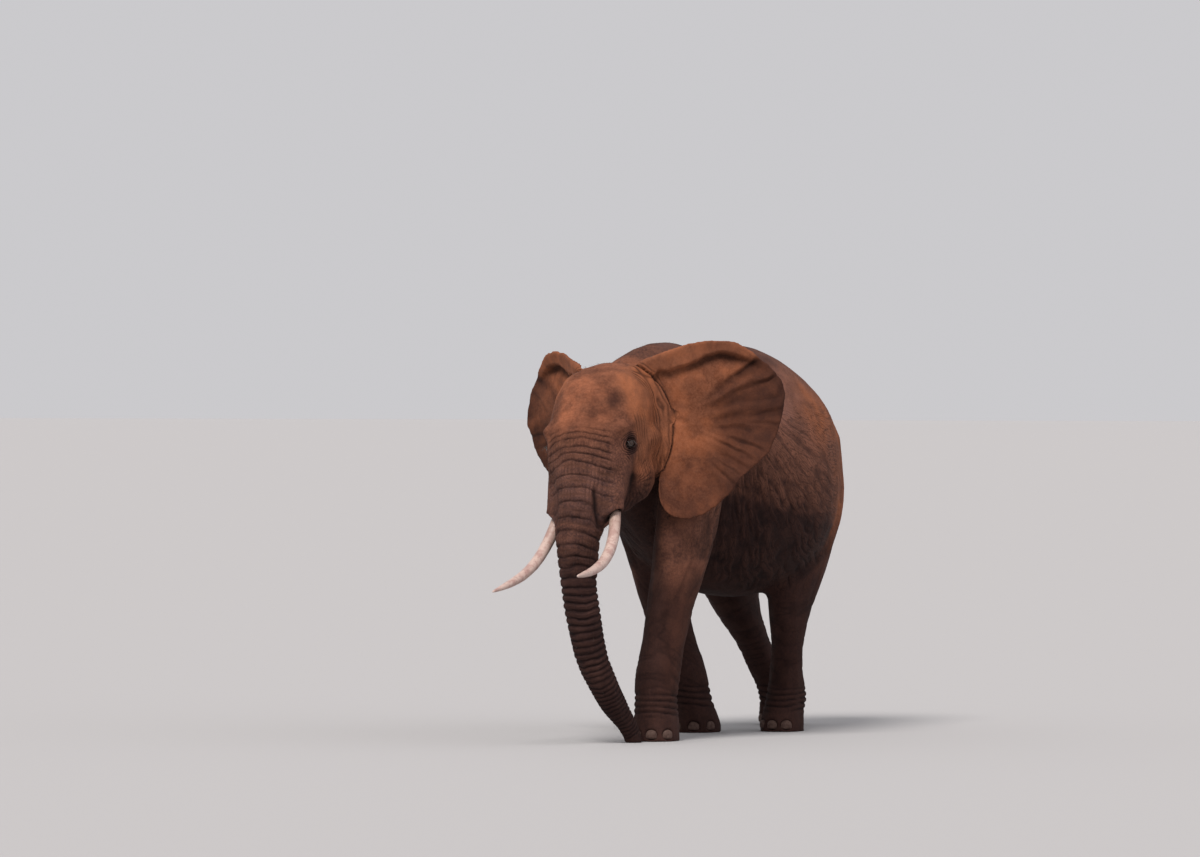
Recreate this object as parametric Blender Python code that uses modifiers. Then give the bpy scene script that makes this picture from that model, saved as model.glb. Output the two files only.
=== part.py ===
"""African savanna elephant, an adult cow, as a life-size standing model.

She walks with her head low and turned a little to her left, her ears half spread
and her trunk let down to the ground ahead of her left forefoot. She faces -Y, her
left side is +X and Z is up, in metres, with the ground at Z = 0.

The flesh is built whole: lofts for the barrel, neck, skull, trunk and legs melt
into one body in a voxel remesh. Boxes then part it into named pieces with a thin
cut between them. Ears, tusks, eyes, toenails and tail are pieces of their own.
"""

import math

import bmesh
import bpy
import numpy as np
from mathutils import Euler, Matrix, Vector

# ---------------------------------------------------------------- driving sizes
CUT = 0.0006  # the gap between two pieces
RING = 36  # points round a loft
FLESH_VOXEL = 0.024
FLESH_TRIANGLES = 2900
HUGE = 4.0  # reach of a cutter that has no far side of its own

EYE_LINE = Vector((0.06, -1.62, 1.84))  # midway between the eyes
HEAD_TURN = math.radians(5)  # towards her left
HEAD_ROLL = math.radians(-3.5)  # her left side a little higher
HEAD = Matrix.Translation(EYE_LINE) @ Matrix.Rotation(HEAD_TURN, 4, "Z")
HEAD = HEAD @ Matrix.Rotation(HEAD_ROLL, 4, "Y")

EYE_RADIUS = 0.026
EYE_INNER = 0.15  # a point inside the skull, level with the eye
EYE_SINK = 0.55  # of its radius, from the skin in to the eyeball's middle
EYE_AHEAD = 0.35  # how much an eye looks ahead for each unit it looks out

# How far each ear is laid back from straight out; 1 is her left, -1 her right
EAR_SWEEP = {1: math.radians(41), -1: math.radians(39.5)}
EAR_CURL = math.radians(14)  # how much further the top and the lobe are laid back
LOBE_FORWARD = {1: 0.16, -1: 0.0}  # the left lobe rides over the shoulder
EAR_ROOT_THICKNESS = 0.034
EAR_RIM_THICKNESS = 0.016
EAR_DISH = 0.035  # how deep the middle of an ear is dished
EAR_MIDDLE, EAR_HALF = 0.15, 0.60  # its middle height above the eyes, and half its height
LOBE_DROP = 0.45  # below its middle, where the lobe is fully forward
EAR_STRIPS, EAR_STEPS_OUT = 22, 4

# The barrel, from chest to rump:
# y, top of the back, height of the widest point, underside, half width, fullness
TORSO = [
    (-1.20, 2.22, 1.84, 1.56, 0.18, 2.0),
    (-1.08, 2.38, 1.82, 1.44, 0.28, 2.0),
    (-0.88, 2.46, 1.76, 1.28, 0.36, 1.9),
    (-0.58, 2.49, 1.66, 1.06, 0.47, 1.9),
    (-0.22, 2.42, 1.54, 0.92, 0.60, 1.9),
    (0.18, 2.48, 1.50, 0.865, 0.66, 1.95),
    (0.48, 2.435, 1.52, 0.885, 0.625, 2.0),
    (0.80, 2.31, 1.60, 1.02, 0.50, 2.1),
    (1.05, 2.16, 1.68, 1.24, 0.37, 2.1),
    (1.20, 1.98, 1.70, 1.42, 0.24, 2.1),
    (1.28, 1.86, 1.70, 1.55, 0.13, 2.1),
]
NECK = [
    (-0.80, 2.46, 1.85, 1.40, 0.36, 2.0),
    (-1.00, 2.42, 1.86, 1.46, 0.33, 2.0),
    (-1.20, 2.35, 1.86, 1.54, 0.30, 2.0),
    (-1.40, 2.28, 1.86, 1.62, 0.28, 2.0),
]

# The skull in level slices from the crown down, measured from between the eyes:
# height, middle, reach of the face ahead of it, of the nape behind it, half width
SKULL = [
    (0.515, 0.33, 0.05, 0.05, 0.05),
    (0.495, 0.30, 0.15, 0.15, 0.13),
    (0.458, 0.27, 0.23, 0.22, 0.20),
    (0.410, 0.245, 0.28, 0.26, 0.245),
    (0.330, 0.22, 0.315, 0.29, 0.28),
    (0.237, 0.19, 0.34, 0.31, 0.300),
    (0.120, 0.15, 0.37, 0.32, 0.305),
    (0.000, 0.11, 0.38, 0.34, 0.305),
    (-0.120, 0.09, 0.38, 0.34, 0.300),
    (-0.240, 0.10, 0.36, 0.28, 0.265),
    (-0.340, 0.10, 0.32, 0.20, 0.220),
    (-0.420, 0.06, 0.26, 0.16, 0.165),
]

# A tusk's sheath and the lower jaw, measured from between the eyes:
# x, y, z, half width, half depth
SHEATH = [
    (0.185, -0.04, 0.00, 0.060, 0.060),
    (0.180, -0.09, -0.15, 0.076, 0.078),
    (0.184, -0.14, -0.31, 0.074, 0.078),
    (0.194, -0.17, -0.425, 0.062, 0.066),
]
JAW = [
    (0.0, 0.28, -0.22, 0.235, 0.120),
    (0.0, 0.12, -0.32, 0.205, 0.105),
    (0.0, -0.01, -0.43, 0.135, 0.078),
    (0.0, -0.06, -0.50, 0.080, 0.055),
    (0.0, -0.085, -0.55, 0.035, 0.028),
]

# Rounded masses under the skin, each a middle and three radii. Those of the head
# are measured from between the eyes.
CHEEK = ((0.190, 0.13, -0.20), (0.125, 0.21, 0.17))
BROW = ((0.225, -0.04, 0.095), (0.075, 0.115, 0.065))
TEMPLE = ((0.245, 0.22, 0.03), (0.085, 0.18, 0.09))
SHOULDER_BLADE = ((0.25, -0.70, 2.04), (0.13, 0.24, 0.33))
HIP_POINT = ((0.26, 0.68, 2.02), (0.15, 0.22, 0.16))

# The trunk's root, measured from between the eyes, and the hanging rest, in the
# body's own frame: x, y, z, half width, half depth
TRUNK_ROOT = [
    (0.00, -0.05, 0.16, 0.120, 0.120),
    (0.00, -0.10, 0.00, 0.165, 0.185),
    (0.00, -0.15, -0.18, 0.180, 0.180),
    (0.00, -0.19, -0.35, 0.168, 0.162),
]
TRUNK_REST = [
    (0.085, -1.844, 1.320, 0.146, 0.145),
    (0.090, -1.846, 1.018, 0.114, 0.118),
    (0.098, -1.795, 0.772, 0.110, 0.112),
    (0.112, -1.714, 0.526, 0.100, 0.101),
    (0.145, -1.552, 0.280, 0.087, 0.086),
    (0.178, -1.415, 0.127, 0.066, 0.064),
    (0.192, -1.352, 0.030, 0.057, 0.053),
    (0.198, -1.330, -0.050, 0.055, 0.051),
]

# Each leg from its root in the body to just below the ground, on its own side:
# x, y, z, half width, reach ahead, reach behind
FORELEG_LEFT = [
    (0.300, -0.74, 1.95, 0.120, 0.160, 0.160),
    (0.300, -0.80, 1.75, 0.150, 0.190, 0.240),
    (0.340, -0.88, 1.52, 0.170, 0.245, 0.250),
    (0.330, -0.93, 1.30, 0.165, 0.250, 0.250),
    (0.297, -0.965, 1.07, 0.150, 0.200, 0.230),
    (0.265, -1.01, 0.84, 0.140, 0.155, 0.160),
    (0.238, -1.045, 0.62, 0.130, 0.140, 0.140),
    (0.216, -1.075, 0.43, 0.134, 0.150, 0.142),
    (0.206, -1.085, 0.27, 0.130, 0.144, 0.138),
    (0.203, -1.08, 0.15, 0.134, 0.150, 0.152),
    (0.200, -1.07, 0.05, 0.138, 0.160, 0.152),
    (0.200, -1.07, -0.06, 0.139, 0.162, 0.152),
]
FORELEG_RIGHT = [
    (0.280, -0.66, 1.95, 0.120, 0.160, 0.160),
    (0.300, -0.64, 1.75, 0.150, 0.230, 0.240),
    (0.280, -0.56, 1.52, 0.155, 0.220, 0.250),
    (0.255, -0.43, 1.30, 0.148, 0.210, 0.250),
    (0.238, -0.32, 1.07, 0.145, 0.180, 0.220),
    (0.215, -0.245, 0.84, 0.142, 0.155, 0.155),
    (0.195, -0.155, 0.62, 0.130, 0.140, 0.140),
    (0.180, -0.06, 0.43, 0.134, 0.148, 0.142),
    (0.174, 0.01, 0.27, 0.130, 0.142, 0.140),
    (0.171, 0.05, 0.15, 0.136, 0.150, 0.152),
    (0.170, 0.10, 0.05, 0.146, 0.168, 0.162),
    (0.170, 0.11, -0.06, 0.147, 0.170, 0.162),
]
HINDLEG_LEFT = [
    (0.20, 0.88, 2.08, 0.05, 0.08, 0.08),
    (0.26, 0.85, 1.93, 0.14, 0.21, 0.21),
    (0.30, 0.77, 1.75, 0.16, 0.32, 0.28),
    (0.335, 0.70, 1.45, 0.175, 0.34, 0.29),
    (0.33, 0.62, 1.20, 0.160, 0.28, 0.25),
    (0.315, 0.56, 0.98, 0.138, 0.28, 0.21),
    (0.29, 0.52, 0.78, 0.116, 0.20, 0.155),
    (0.275, 0.50, 0.56, 0.097, 0.105, 0.102),
    (0.265, 0.50, 0.38, 0.101, 0.100, 0.112),
    (0.260, 0.50, 0.27, 0.112, 0.112, 0.165),
    (0.255, 0.49, 0.17, 0.120, 0.130, 0.182),
    (0.253, 0.485, 0.10, 0.118, 0.140, 0.125),
    (0.252, 0.48, 0.05, 0.128, 0.155, 0.145),
    (0.252, 0.48, -0.06, 0.129, 0.157, 0.145),
]
HINDLEG_RIGHT = [
    (0.20, 0.88, 2.08, 0.05, 0.08, 0.08),
    (0.26, 0.85, 1.93, 0.14, 0.21, 0.21),
    (0.30, 0.79, 1.75, 0.16, 0.32, 0.28),
    (0.330, 0.76, 1.45, 0.175, 0.34, 0.33),
    (0.310, 0.69, 1.20, 0.160, 0.27, 0.36),
    (0.280, 0.65, 0.98, 0.140, 0.22, 0.38),
    (0.250, 0.74, 0.78, 0.124, 0.165, 0.250),
    (0.222, 0.93, 0.56, 0.106, 0.118, 0.124),
    (0.210, 1.07, 0.38, 0.104, 0.102, 0.120),
    (0.205, 1.18, 0.27, 0.112, 0.112, 0.160),
    (0.202, 1.26, 0.16, 0.120, 0.130, 0.165),
    (0.200, 1.29, 0.05, 0.128, 0.155, 0.145),
    (0.200, 1.29, -0.06, 0.129, 0.157, 0.145),
]
LEG_STATIONS = {
    ("fore", "left"): FORELEG_LEFT,
    ("fore", "right"): FORELEG_RIGHT,
    ("hind", "left"): HINDLEG_LEFT,
    ("hind", "right"): HINDLEG_RIGHT,
}

# A tusk's middle line from inside the lip to the tip, from between the eyes:
# x, y, z, radius
TUSK = [
    (0.194, -0.135, -0.400, 0.036),
    (0.206, -0.187, -0.500, 0.037),
    (0.230, -0.298, -0.625, 0.036),
    (0.244, -0.428, -0.720, 0.034),
    (0.256, -0.585, -0.788, 0.030),
    (0.272, -0.790, -0.848, 0.020),
    (0.290, -0.955, -0.885, 0.005),
]
TUSK_LIFT = {1: 0.095, -1: 0.02}  # how much higher the tip of each is carried

# The line an ear grows from, top to bottom, from between the eyes, and its free
# edge as distance out from the root and height
EAR_ROOT = [
    (0.150, 0.260, 0.475),
    (0.235, 0.400, 0.360),
    (0.285, 0.470, 0.210),
    (0.290, 0.455, 0.010),
    (0.255, 0.400, -0.200),
]
EAR_BASE = 0.050  # radius of the muscle that an ear grows from
EAR_AXIS = (0.335, 0.50)  # where the ear's blade starts, seen from above
EAR_EDGE = [
    (-0.22, 0.510),
    (0.08, 0.600),
    (0.37, 0.625),
    (0.59, 0.500),
    (0.730, 0.330),
    (0.710, 0.150),
    (0.58, -0.095),
    (0.370, -0.235),
    (0.24, -0.370),
    (0.02, -0.480),
    (-0.16, -0.460),
    (-0.215, -0.350),
    (-0.18, -0.225),
]

# x, y, z, half width, half depth
TAIL_STATIONS = [
    (0.00, 1.17, 1.93, 0.060, 0.060),
    (0.00, 1.29, 1.84, 0.050, 0.050),
    (-0.01, 1.345, 1.66, 0.038, 0.038),
    (-0.04, 1.375, 1.36, 0.028, 0.028),
    (-0.08, 1.390, 1.10, 0.021, 0.021),
    (-0.11, 1.390, 0.96, 0.018, 0.018),
]
TUFT_STATIONS = [
    (-0.11, 1.390, 0.959, 0.018, 0.018),
    (-0.12, 1.388, 0.90, 0.030, 0.030),
    (-0.13, 1.385, 0.82, 0.026, 0.026),
    (-0.14, 1.380, 0.72, 0.008, 0.008),
]

# Where the toenails sit round a foot, as angles from straight ahead, and their size
NAIL_ANGLES = {"fore": (-62, -22, 18, 58), "hind": (-38, 0, 38)}
NAIL_RADII = (0.034, 0.013, 0.031)
NAIL_HEIGHT = 0.045
NAIL_SINK = 0.003  # how far its middle lies behind the skin
NAIL_FACETS = (7, 4)

# Heights of the cuts across each leg, from the ground
FOOT_TOP = 0.13
LEG_JOINT = {"fore": 0.55, "hind": 0.62}

# The room each leg takes: from and to in X, from and to in Y, a point of its
# sloping top and that slope in X and Y
LEG_ROOMS = {
    ("fore", "left"): ((-0.05, HUGE), (-1.28, -0.62), (0.30, -0.96, 1.07), (-0.36, 0.0)),
    ("fore", "right"): ((-HUGE, 0.05), (-0.60, 0.34), (-0.24, -0.32, 1.00), (0.40, 0.30)),
    ("hind", "left"): ((0.0, HUGE), (0.22, 0.95), (0.31, 0.56, 1.00), (-0.40, -0.50)),
    ("hind", "right"): ((-HUGE, 0.0), (0.35, HUGE), (-0.28, 0.65, 1.00), (0.40, -0.50)),
}

# The cuts across the trunk: y and z of a point on each, and its slope along Y
TRUNK_CUTS = ((-1.845, 1.31, 0.375), (-1.84, 0.98, -0.05), (-1.755, 0.64, -0.27), (-1.565, 0.30, -0.62))
TRUNK_BACK = -1.27  # everything of the trunk lies ahead of this

# The cuts that part the head from the neck, the neck from the torso, and both
# from the throat below them: a point on each, and its way out
NAPE_CUT = ((0, -1.12, 1.90), (0, 1, -0.1))
WITHERS_CUT = ((0, -1.00, 1.98), (0, 1, -0.4))
THROAT_CUT = ((0, -1.16, 1.46), (0, 0.85, -1))

# The room the lower jaw takes, from between the eyes: a point on each plane of it,
# and that plane's way out
JAW_ROOM = (
    ((0, 0, -0.405), (0, -0.28, 1)),
    ((0, -0.125, 0), (0, -1, 0)),
    ((0, 0.22, 0), (0, 1, 0)),
    ((0.14, 0, 0), (1, 0, 0)),
    ((-0.14, 0, 0), (-1, 0, 0)),
)

# colour, roughness
MATERIALS = {
    "hide": ((0.150, 0.070, 0.042), 0.85),
    "ear hide": ((0.210, 0.085, 0.040), 0.85),
    "ivory": ((0.700, 0.560, 0.470), 0.45),
    "toenail": ((0.300, 0.220, 0.160), 0.60),
    "eyeball": ((0.020, 0.011, 0.007), 0.12),
    "bristle": ((0.018, 0.012, 0.010), 0.70),
}
CREASE = math.radians(50)  # faces that meet more sharply than this are shaded apart

X, Y, Z = Vector((1, 0, 0)), Vector((0, 1, 0)), Vector((0, 0, 1))
SIDES = {"left": 1, "right": -1}


# ---------------------------------------------------------------- small helpers
def eased(rows, steps):
    """The rows with steps - 1 more between each two, along a smooth curve."""
    rows = np.array(rows, float)
    padded = np.vstack([2 * rows[0] - rows[1], rows, 2 * rows[-1] - rows[-2]])
    made = []
    for a, b, c, d in zip(padded, padded[1:], padded[2:], padded[3:]):
        for t in np.arange(steps) / steps:
            bend = t * t * (a - 2.5 * b + 2 * c - 0.5 * d)
            made.append(b + 0.5 * t * (c - a) + bend + t**3 * (1.5 * (b - c) + 0.5 * (d - a)))
    return made + [rows[-1]]


def part_way(rows, steps):
    """Points a fixed share apart along the smooth curve through the rows."""
    curve = np.array(eased(rows, 6))
    along = np.linspace(0, 1, len(curve))
    share = np.linspace(0, 1, steps + 1)
    return np.column_stack([np.interp(share, along, column) for column in curve.T])


def head_point(x, y, z):
    return HEAD @ Vector((x, y, z))


def head_way(x, y, z):
    return HEAD.to_3x3() @ Vector((x, y, z))


def new_object(name, bm):
    mesh = bpy.data.meshes.new(name)
    bm.to_mesh(mesh)
    bm.free()
    made = bpy.data.objects.new(name, mesh)
    bpy.context.scene.collection.objects.link(made)
    return made


def bake(obj):
    """Replaces the object's mesh by what its modifiers make of it."""
    bpy.context.view_layer.update()
    graph = bpy.context.evaluated_depsgraph_get()
    mesh = bpy.data.meshes.new_from_object(obj.evaluated_get(graph))
    obj.modifiers.clear()
    obj.data = mesh
    return obj


def joined(name, objects):
    bm = bmesh.new()
    for obj in objects:
        bm.from_mesh(obj.data)
        bpy.data.objects.remove(obj)
    return new_object(name, bm)


def boolean(obj, cutter, operation, solver="EXACT"):
    step = obj.modifiers.new(operation.lower(), "BOOLEAN")
    step.operation = operation
    step.object = cutter
    step.solver = solver
    return bake(obj)


def box(middle, size, turn=(0, 0, 0)):
    bm = bmesh.new()
    place = Matrix.Translation(middle) @ Euler([math.radians(a) for a in turn]).to_matrix().to_4x4()
    bmesh.ops.create_cube(bm, size=1, matrix=place @ Matrix.Diagonal((*size, 1)))
    return new_object("cutter", bm)


def grown(obj, by):
    """A copy pushed out along its normals, as a mould for what it sits in."""
    bm = bmesh.new()
    bm.from_mesh(obj.data)
    bm.normal_update()
    moves = [(v, v.normal * by * v.calc_shell_factor()) for v in bm.verts]
    for vert, move in moves:
        vert.co += move
    return new_object(obj.name + "_mould", bm)


# ---------------------------------------------------------------- lofts
def section(middle, side, up, half_width, rise, drop, fullness=2.2):
    """One ring: a rounded outline with its own reach up and down."""
    ring = []
    for k in range(RING):
        angle = 2 * math.pi * k / RING
        across = math.copysign(abs(math.cos(angle)) ** (2 / fullness), math.cos(angle))
        along = math.copysign(abs(math.sin(angle)) ** (2 / fullness), math.sin(angle))
        reach = rise if along > 0 else drop
        ring.append(middle + side * across * half_width + up * along * reach)
    return ring


def loft(name, rings):
    bm = bmesh.new()
    loops = [[bm.verts.new(p) for p in ring] for ring in rings]
    for low, high in zip(loops, loops[1:]):
        for k in range(len(low)):
            after = (k + 1) % len(low)
            bm.faces.new((low[k], low[after], high[after], high[k]))
    bm.faces.new(loops[0][::-1])
    bm.faces.new(loops[-1])
    bmesh.ops.recalc_face_normals(bm, faces=bm.faces)
    return new_object(name, bm)


def barrel(rows):
    rings = []
    for y, top, widest, under, half, fullness in eased(rows, 4):
        middle = Vector((0, y, widest))
        rings.append(section(middle, X, Z, half, top - widest, widest - under, fullness))
    return loft("barrel", rings)


def skull():
    side, ahead = head_way(1, 0, 0), head_way(0, -1, 0)
    rings = []
    for z, middle, face, nape, half in eased(SKULL, 4):
        rings.append(section(head_point(0, middle, z), side, ahead, half, face, nape, 2.25))
    return loft("skull", rings)


def tube(name, stations, side=X, steps=4, fullness=2.05, points=RING):
    """Rings square to a curved middle line. A station is x, y, z, half width, half depth."""
    rows = eased(stations, steps)
    centres = [Vector(row[:3]) for row in rows]
    rings = []
    for k, row in enumerate(rows):
        way = (centres[min(k + 1, len(rows) - 1)] - centres[max(k - 1, 0)]).normalized()
        up = side.cross(way).normalized()
        across = way.cross(up).normalized()
        ring = section(centres[k], across, up, row[3], row[4], row[4], fullness)
        rings.append(ring[:: RING // points])
    return loft(name, rings)


def in_head(stations, side=1):
    return [(*head_point(side * x, y, z), *sizes) for x, y, z, *sizes in stations]


def leg(rows, side):
    rings = []
    for x, y, z, half, ahead, behind in eased(rows, 4):
        rings.append(section(Vector((side * x, y, z)), X, -Y, half, ahead, behind))
    return loft("leg", rings)


def ball(middle, radii):
    bm = bmesh.new()
    bmesh.ops.create_uvsphere(bm, u_segments=24, v_segments=16, radius=1)
    place = Matrix.Translation(middle) @ Matrix.Diagonal((*radii, 1))
    bmesh.ops.transform(bm, matrix=place, verts=bm.verts)
    return new_object("ball", bm)


# ---------------------------------------------------------------- flesh
def masses(side):
    """What lies under the skin of one side: sheath, ear muscle, cheek, brow, bones."""
    ear_muscle = [(*point, EAR_BASE, EAR_BASE) for point in EAR_ROOT]
    made = [tube("sheath", in_head(SHEATH, side)), tube("ear_base", in_head(ear_muscle, side))]
    for (x, y, z), radii in (CHEEK, BROW, TEMPLE):
        made.append(ball(head_point(side * x, y, z), radii))
    for (x, y, z), radii in (SHOULDER_BLADE, HIP_POINT):
        made.append(ball((side * x, y, z), radii))
    return made


def flesh():
    lofts = [barrel(TORSO), barrel(NECK), skull(), tube("jaw", in_head(JAW))]
    lofts.append(tube("trunk", in_head(TRUNK_ROOT) + TRUNK_REST, side=head_way(1, 0, 0)))
    for (_, word), rows in LEG_STATIONS.items():
        lofts.append(leg(rows, SIDES[word]))
    for side in SIDES.values():
        lofts += masses(side)
    body = joined("flesh", lofts)
    remesh = body.modifiers.new("melt", "REMESH")
    remesh.mode = "VOXEL"
    remesh.voxel_size = FLESH_VOXEL
    smooth = body.modifiers.new("smooth", "SMOOTH")
    smooth.factor = 0.5
    smooth.iterations = 6
    bake(body)
    thin = body.modifiers.new("thin", "DECIMATE")
    thin.ratio = FLESH_TRIANGLES / (2 * len(body.data.polygons))
    bake(body)
    ground = box((0, 0, -HUGE / 2), (2 * HUGE, 2 * HUGE, HUGE))
    boolean(body, ground, "DIFFERENCE")
    bpy.data.objects.remove(ground)
    return body


# ---------------------------------------------------------------- pieces set in the flesh
def largest(obj):
    """Drops every island of the mesh but the one with the most faces."""
    bm = bmesh.new()
    bm.from_mesh(obj.data)
    left, islands = set(bm.faces), []
    while left:
        island, edge = set(), [next(iter(left))]
        while edge:
            face = edge.pop()
            if face in island:
                continue
            island.add(face)
            edge += [near for e in face.edges for near in e.link_faces if near not in island]
        left -= island
        islands.append(island)
    islands.sort(key=len)
    bmesh.ops.delete(bm, geom=[f for island in islands[:-1] for f in island], context="FACES")
    bm.to_mesh(obj.data)
    bm.free()
    return obj


def ear_point(distance, height, side):
    """A point of an ear's blade, from between the eyes, with the lobe brought forward."""
    sweep = EAR_SWEEP[side] + EAR_CURL * ((height - EAR_MIDDLE) / EAR_HALF) ** 2
    out = Vector((math.cos(sweep), math.sin(sweep), 0))
    ahead = Vector((math.sin(sweep), -math.cos(sweep), 0))
    low = min(max((EAR_MIDDLE - height) / LOBE_DROP, 0), 1)
    forward = LOBE_FORWARD[side] * low * low * (3 - 2 * low)
    return Vector((*EAR_AXIS, height)) + out * distance + ahead * forward


def ear(name, side):
    """A thin blade fanned out from the root line to the free edge, dished a little."""
    edge = part_way(EAR_EDGE, EAR_STRIPS)
    root = part_way(EAR_ROOT, EAR_STRIPS)
    ahead = Vector((math.sin(EAR_SWEEP[side]), -math.cos(EAR_SWEEP[side]), 0))
    rings = []
    for k, (reach, base) in enumerate(zip(edge, root)):
        rim = ear_point(*reach, side)
        hollow = EAR_DISH * math.sin(math.pi * k / EAR_STRIPS)
        front, back = [], []
        for t in np.linspace(0, 1, EAR_STEPS_OUT + 1):
            thick = EAR_ROOT_THICKNESS + (EAR_RIM_THICKNESS - EAR_ROOT_THICKNESS) * t
            middle = Vector(base).lerp(rim, t) - ahead * hollow * math.sin(math.pi * t)
            for row, offset in ((front, thick / 2), (back, -thick / 2)):
                at = middle + ahead * offset
                row.append(head_point(side * at.x, at.y, at.z))
        rings.append(front + back[::-1])
    return loft(name, rings)


def tusk(name, side):
    lifted = [(x, y, z + TUSK_LIFT[side] * y * y, r) for x, y, z, r in TUSK]
    stations = [(*row, row[-1]) for row in in_head(lifted, side)]
    return tube(name, stations, side=head_way(1, 0, 0), steps=2, fullness=2, points=9)


def skin_hit(body, start, way):
    """Where a ray from inside the body leaves it."""
    hit, place, _, _ = body.ray_cast(start, way)
    return place if hit else start


def eye(name, side, body):
    """A ball set so that about a third of it stands free of the skin."""
    way = head_way(side, -EYE_AHEAD, 0).normalized()
    at = skin_hit(body, head_point(side * EYE_INNER, 0, 0), way) - way * EYE_RADIUS * EYE_SINK
    bm = bmesh.new()
    place = Matrix.Translation(at) @ way.to_track_quat("Z", "Y").to_matrix().to_4x4()
    bmesh.ops.create_uvsphere(bm, u_segments=10, v_segments=7, radius=EYE_RADIUS, matrix=place)
    return new_object(name, bm)


def nails(foot, end, word):
    """Flattened half-sunk domes round the front of a foot, each let into it."""
    side = SIDES[word]
    x, y = LEG_STATIONS[end, word][-1][:2]
    made = []
    for n, angle in enumerate(NAIL_ANGLES[end], 1):
        turn = math.radians(angle)
        way = Vector((side * math.sin(turn), -math.cos(turn), 0))
        at = skin_hit(foot, Vector((side * x, y, NAIL_HEIGHT)), way) - way * NAIL_SINK
        bm = bmesh.new()
        bmesh.ops.create_uvsphere(bm, u_segments=NAIL_FACETS[0], v_segments=NAIL_FACETS[1], radius=1)
        place = Matrix.Translation(at) @ way.to_track_quat("Y", "Z").to_matrix().to_4x4()
        bmesh.ops.transform(bm, matrix=place @ Matrix.Diagonal((*NAIL_RADII, 1)), verts=bm.verts)
        made.append(new_object(f"toenail_{end}_{word}_{n}", bm))
    for nail in made:
        socket(foot, nail)
    return made


def socket(body, piece):
    """Takes the room for a piece out of the body, a thin gap wider than the piece."""
    mould = grown(piece, CUT)
    boolean(body, mould, "DIFFERENCE")
    bpy.data.objects.remove(mould)


# ---------------------------------------------------------------- parting
def cell(planes, wider=0.0):
    """The room behind every plane. A plane is a point on it and the way out."""
    bm = bmesh.new()
    bmesh.ops.create_cube(bm, size=2 * HUGE)
    for point, out in planes:
        out = Vector(out).normalized()
        everything = bm.verts[:] + bm.edges[:] + bm.faces[:]
        on = Vector(point) + out * wider
        bmesh.ops.bisect_plane(bm, geom=everything, plane_co=on, plane_no=out, clear_outer=True)
        bmesh.ops.holes_fill(bm, edges=[e for e in bm.edges if e.is_boundary], sides=0)
    bmesh.ops.recalc_face_normals(bm, faces=bm.faces)
    return new_object("cutter", bm)


def take(body, name, planes):
    """Moves what lies behind the planes out of the body, into a piece of its own."""
    piece = new_object(name, bmesh.new())
    piece.data = body.data.copy()
    for obj, operation, wider in ((piece, "INTERSECT", 0.0), (body, "DIFFERENCE", CUT)):
        cutter = cell(planes, wider)
        boolean(obj, cutter, operation)
        bpy.data.objects.remove(cutter)
    largest(body)
    return largest(piece)


def legs(body):
    """Each leg leaves the body below the elbow or the knee's fold of skin, in three pieces."""
    made = []
    for (end, word), (across, along, top, slope) in LEG_ROOMS.items():
        bounds = [
            ((across[0], 0, 0), -X),
            ((across[1], 0, 0), X),
            ((0, along[0], 0), -Y),
            ((0, along[1], 0), Y),
            (top, (*slope, 1)),
        ]
        whole = take(body, f"{end}leg_{word}_upper", bounds)
        foot = take(whole, f"{end}foot_{word}", [((0, 0, FOOT_TOP), Z)])
        lower = take(whole, f"{end}leg_{word}_lower", [((0, 0, LEG_JOINT[end]), Z)])
        made += [(nail, "toenail") for nail in nails(foot, end, word)]
        made += [(piece, "hide") for piece in (whole, lower, largest(foot))]
    return made


def trunk_lengths(body):
    made = []
    for n, (y, z, slope) in enumerate(TRUNK_CUTS, 1):
        source = made[-1] if made else body
        bounds = [((0, y, z), (0, slope, 1)), ((0, TRUNK_BACK, 0), Y)]
        made.append(take(source, f"trunk_{n}", bounds))
    return made


def lower_jaw(body):
    bounds = [(head_point(*point), head_way(*way)) for point, way in JAW_ROOM]
    return take(body, "lower_jaw", bounds)


def side_pieces(body, side, word):
    """Ear, tusk and eye of one side, and the room for the last two in the body."""
    blade = ear(f"ear_{word}", side)
    mould = grown(body, CUT)
    # The other solver leaves nothing of the left blade.
    boolean(blade, mould, "DIFFERENCE", solver="MANIFOLD")
    bpy.data.objects.remove(mould)
    ivory = tusk(f"tusk_{word}", side)
    ball_of_eye = eye(f"eye_{word}", side, body)
    socket(body, ivory)
    socket(body, ball_of_eye)
    return [(largest(blade), "ear hide"), (ivory, "ivory"), (ball_of_eye, "eyeball")]


def tail_pieces(body):
    tail = tube("tail", TAIL_STATIONS, steps=2, fullness=2, points=9)
    tuft = tube("tail_tuft", TUFT_STATIONS, steps=2, fullness=2, points=9)
    socket(body, tail)
    return [(tail, "hide"), (tuft, "bristle")]


# ---------------------------------------------------------------- finish
def material(kind):
    colour, roughness = MATERIALS[kind]
    made = bpy.data.materials.get(kind) or bpy.data.materials.new(kind)
    made.use_nodes = True
    shader = made.node_tree.nodes["Principled BSDF"]
    shader.inputs["Base Color"].default_value = (*colour, 1)
    shader.inputs["Roughness"].default_value = roughness
    return made


def finish(obj, kind, group):
    bpy.context.scene.collection.objects.unlink(obj)
    group.objects.link(obj)
    obj.data.materials.clear()
    obj.data.materials.append(material(kind))
    for face in obj.data.polygons:
        face.material_index = 0
    obj.data.shade_smooth()
    obj.data.set_sharp_from_angle(angle=CREASE)


def centre_on_ground(objects):
    """Moves every piece so that the origin is on the ground under the middle of them all."""
    points = np.array([v.co for obj in objects for v in obj.data.vertices])
    low, high = points.min(axis=0), points.max(axis=0)
    shift = Matrix.Translation((-(low[0] + high[0]) / 2, -(low[1] + high[1]) / 2, -low[2]))
    for obj in objects:
        obj.data.transform(shift)


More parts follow.
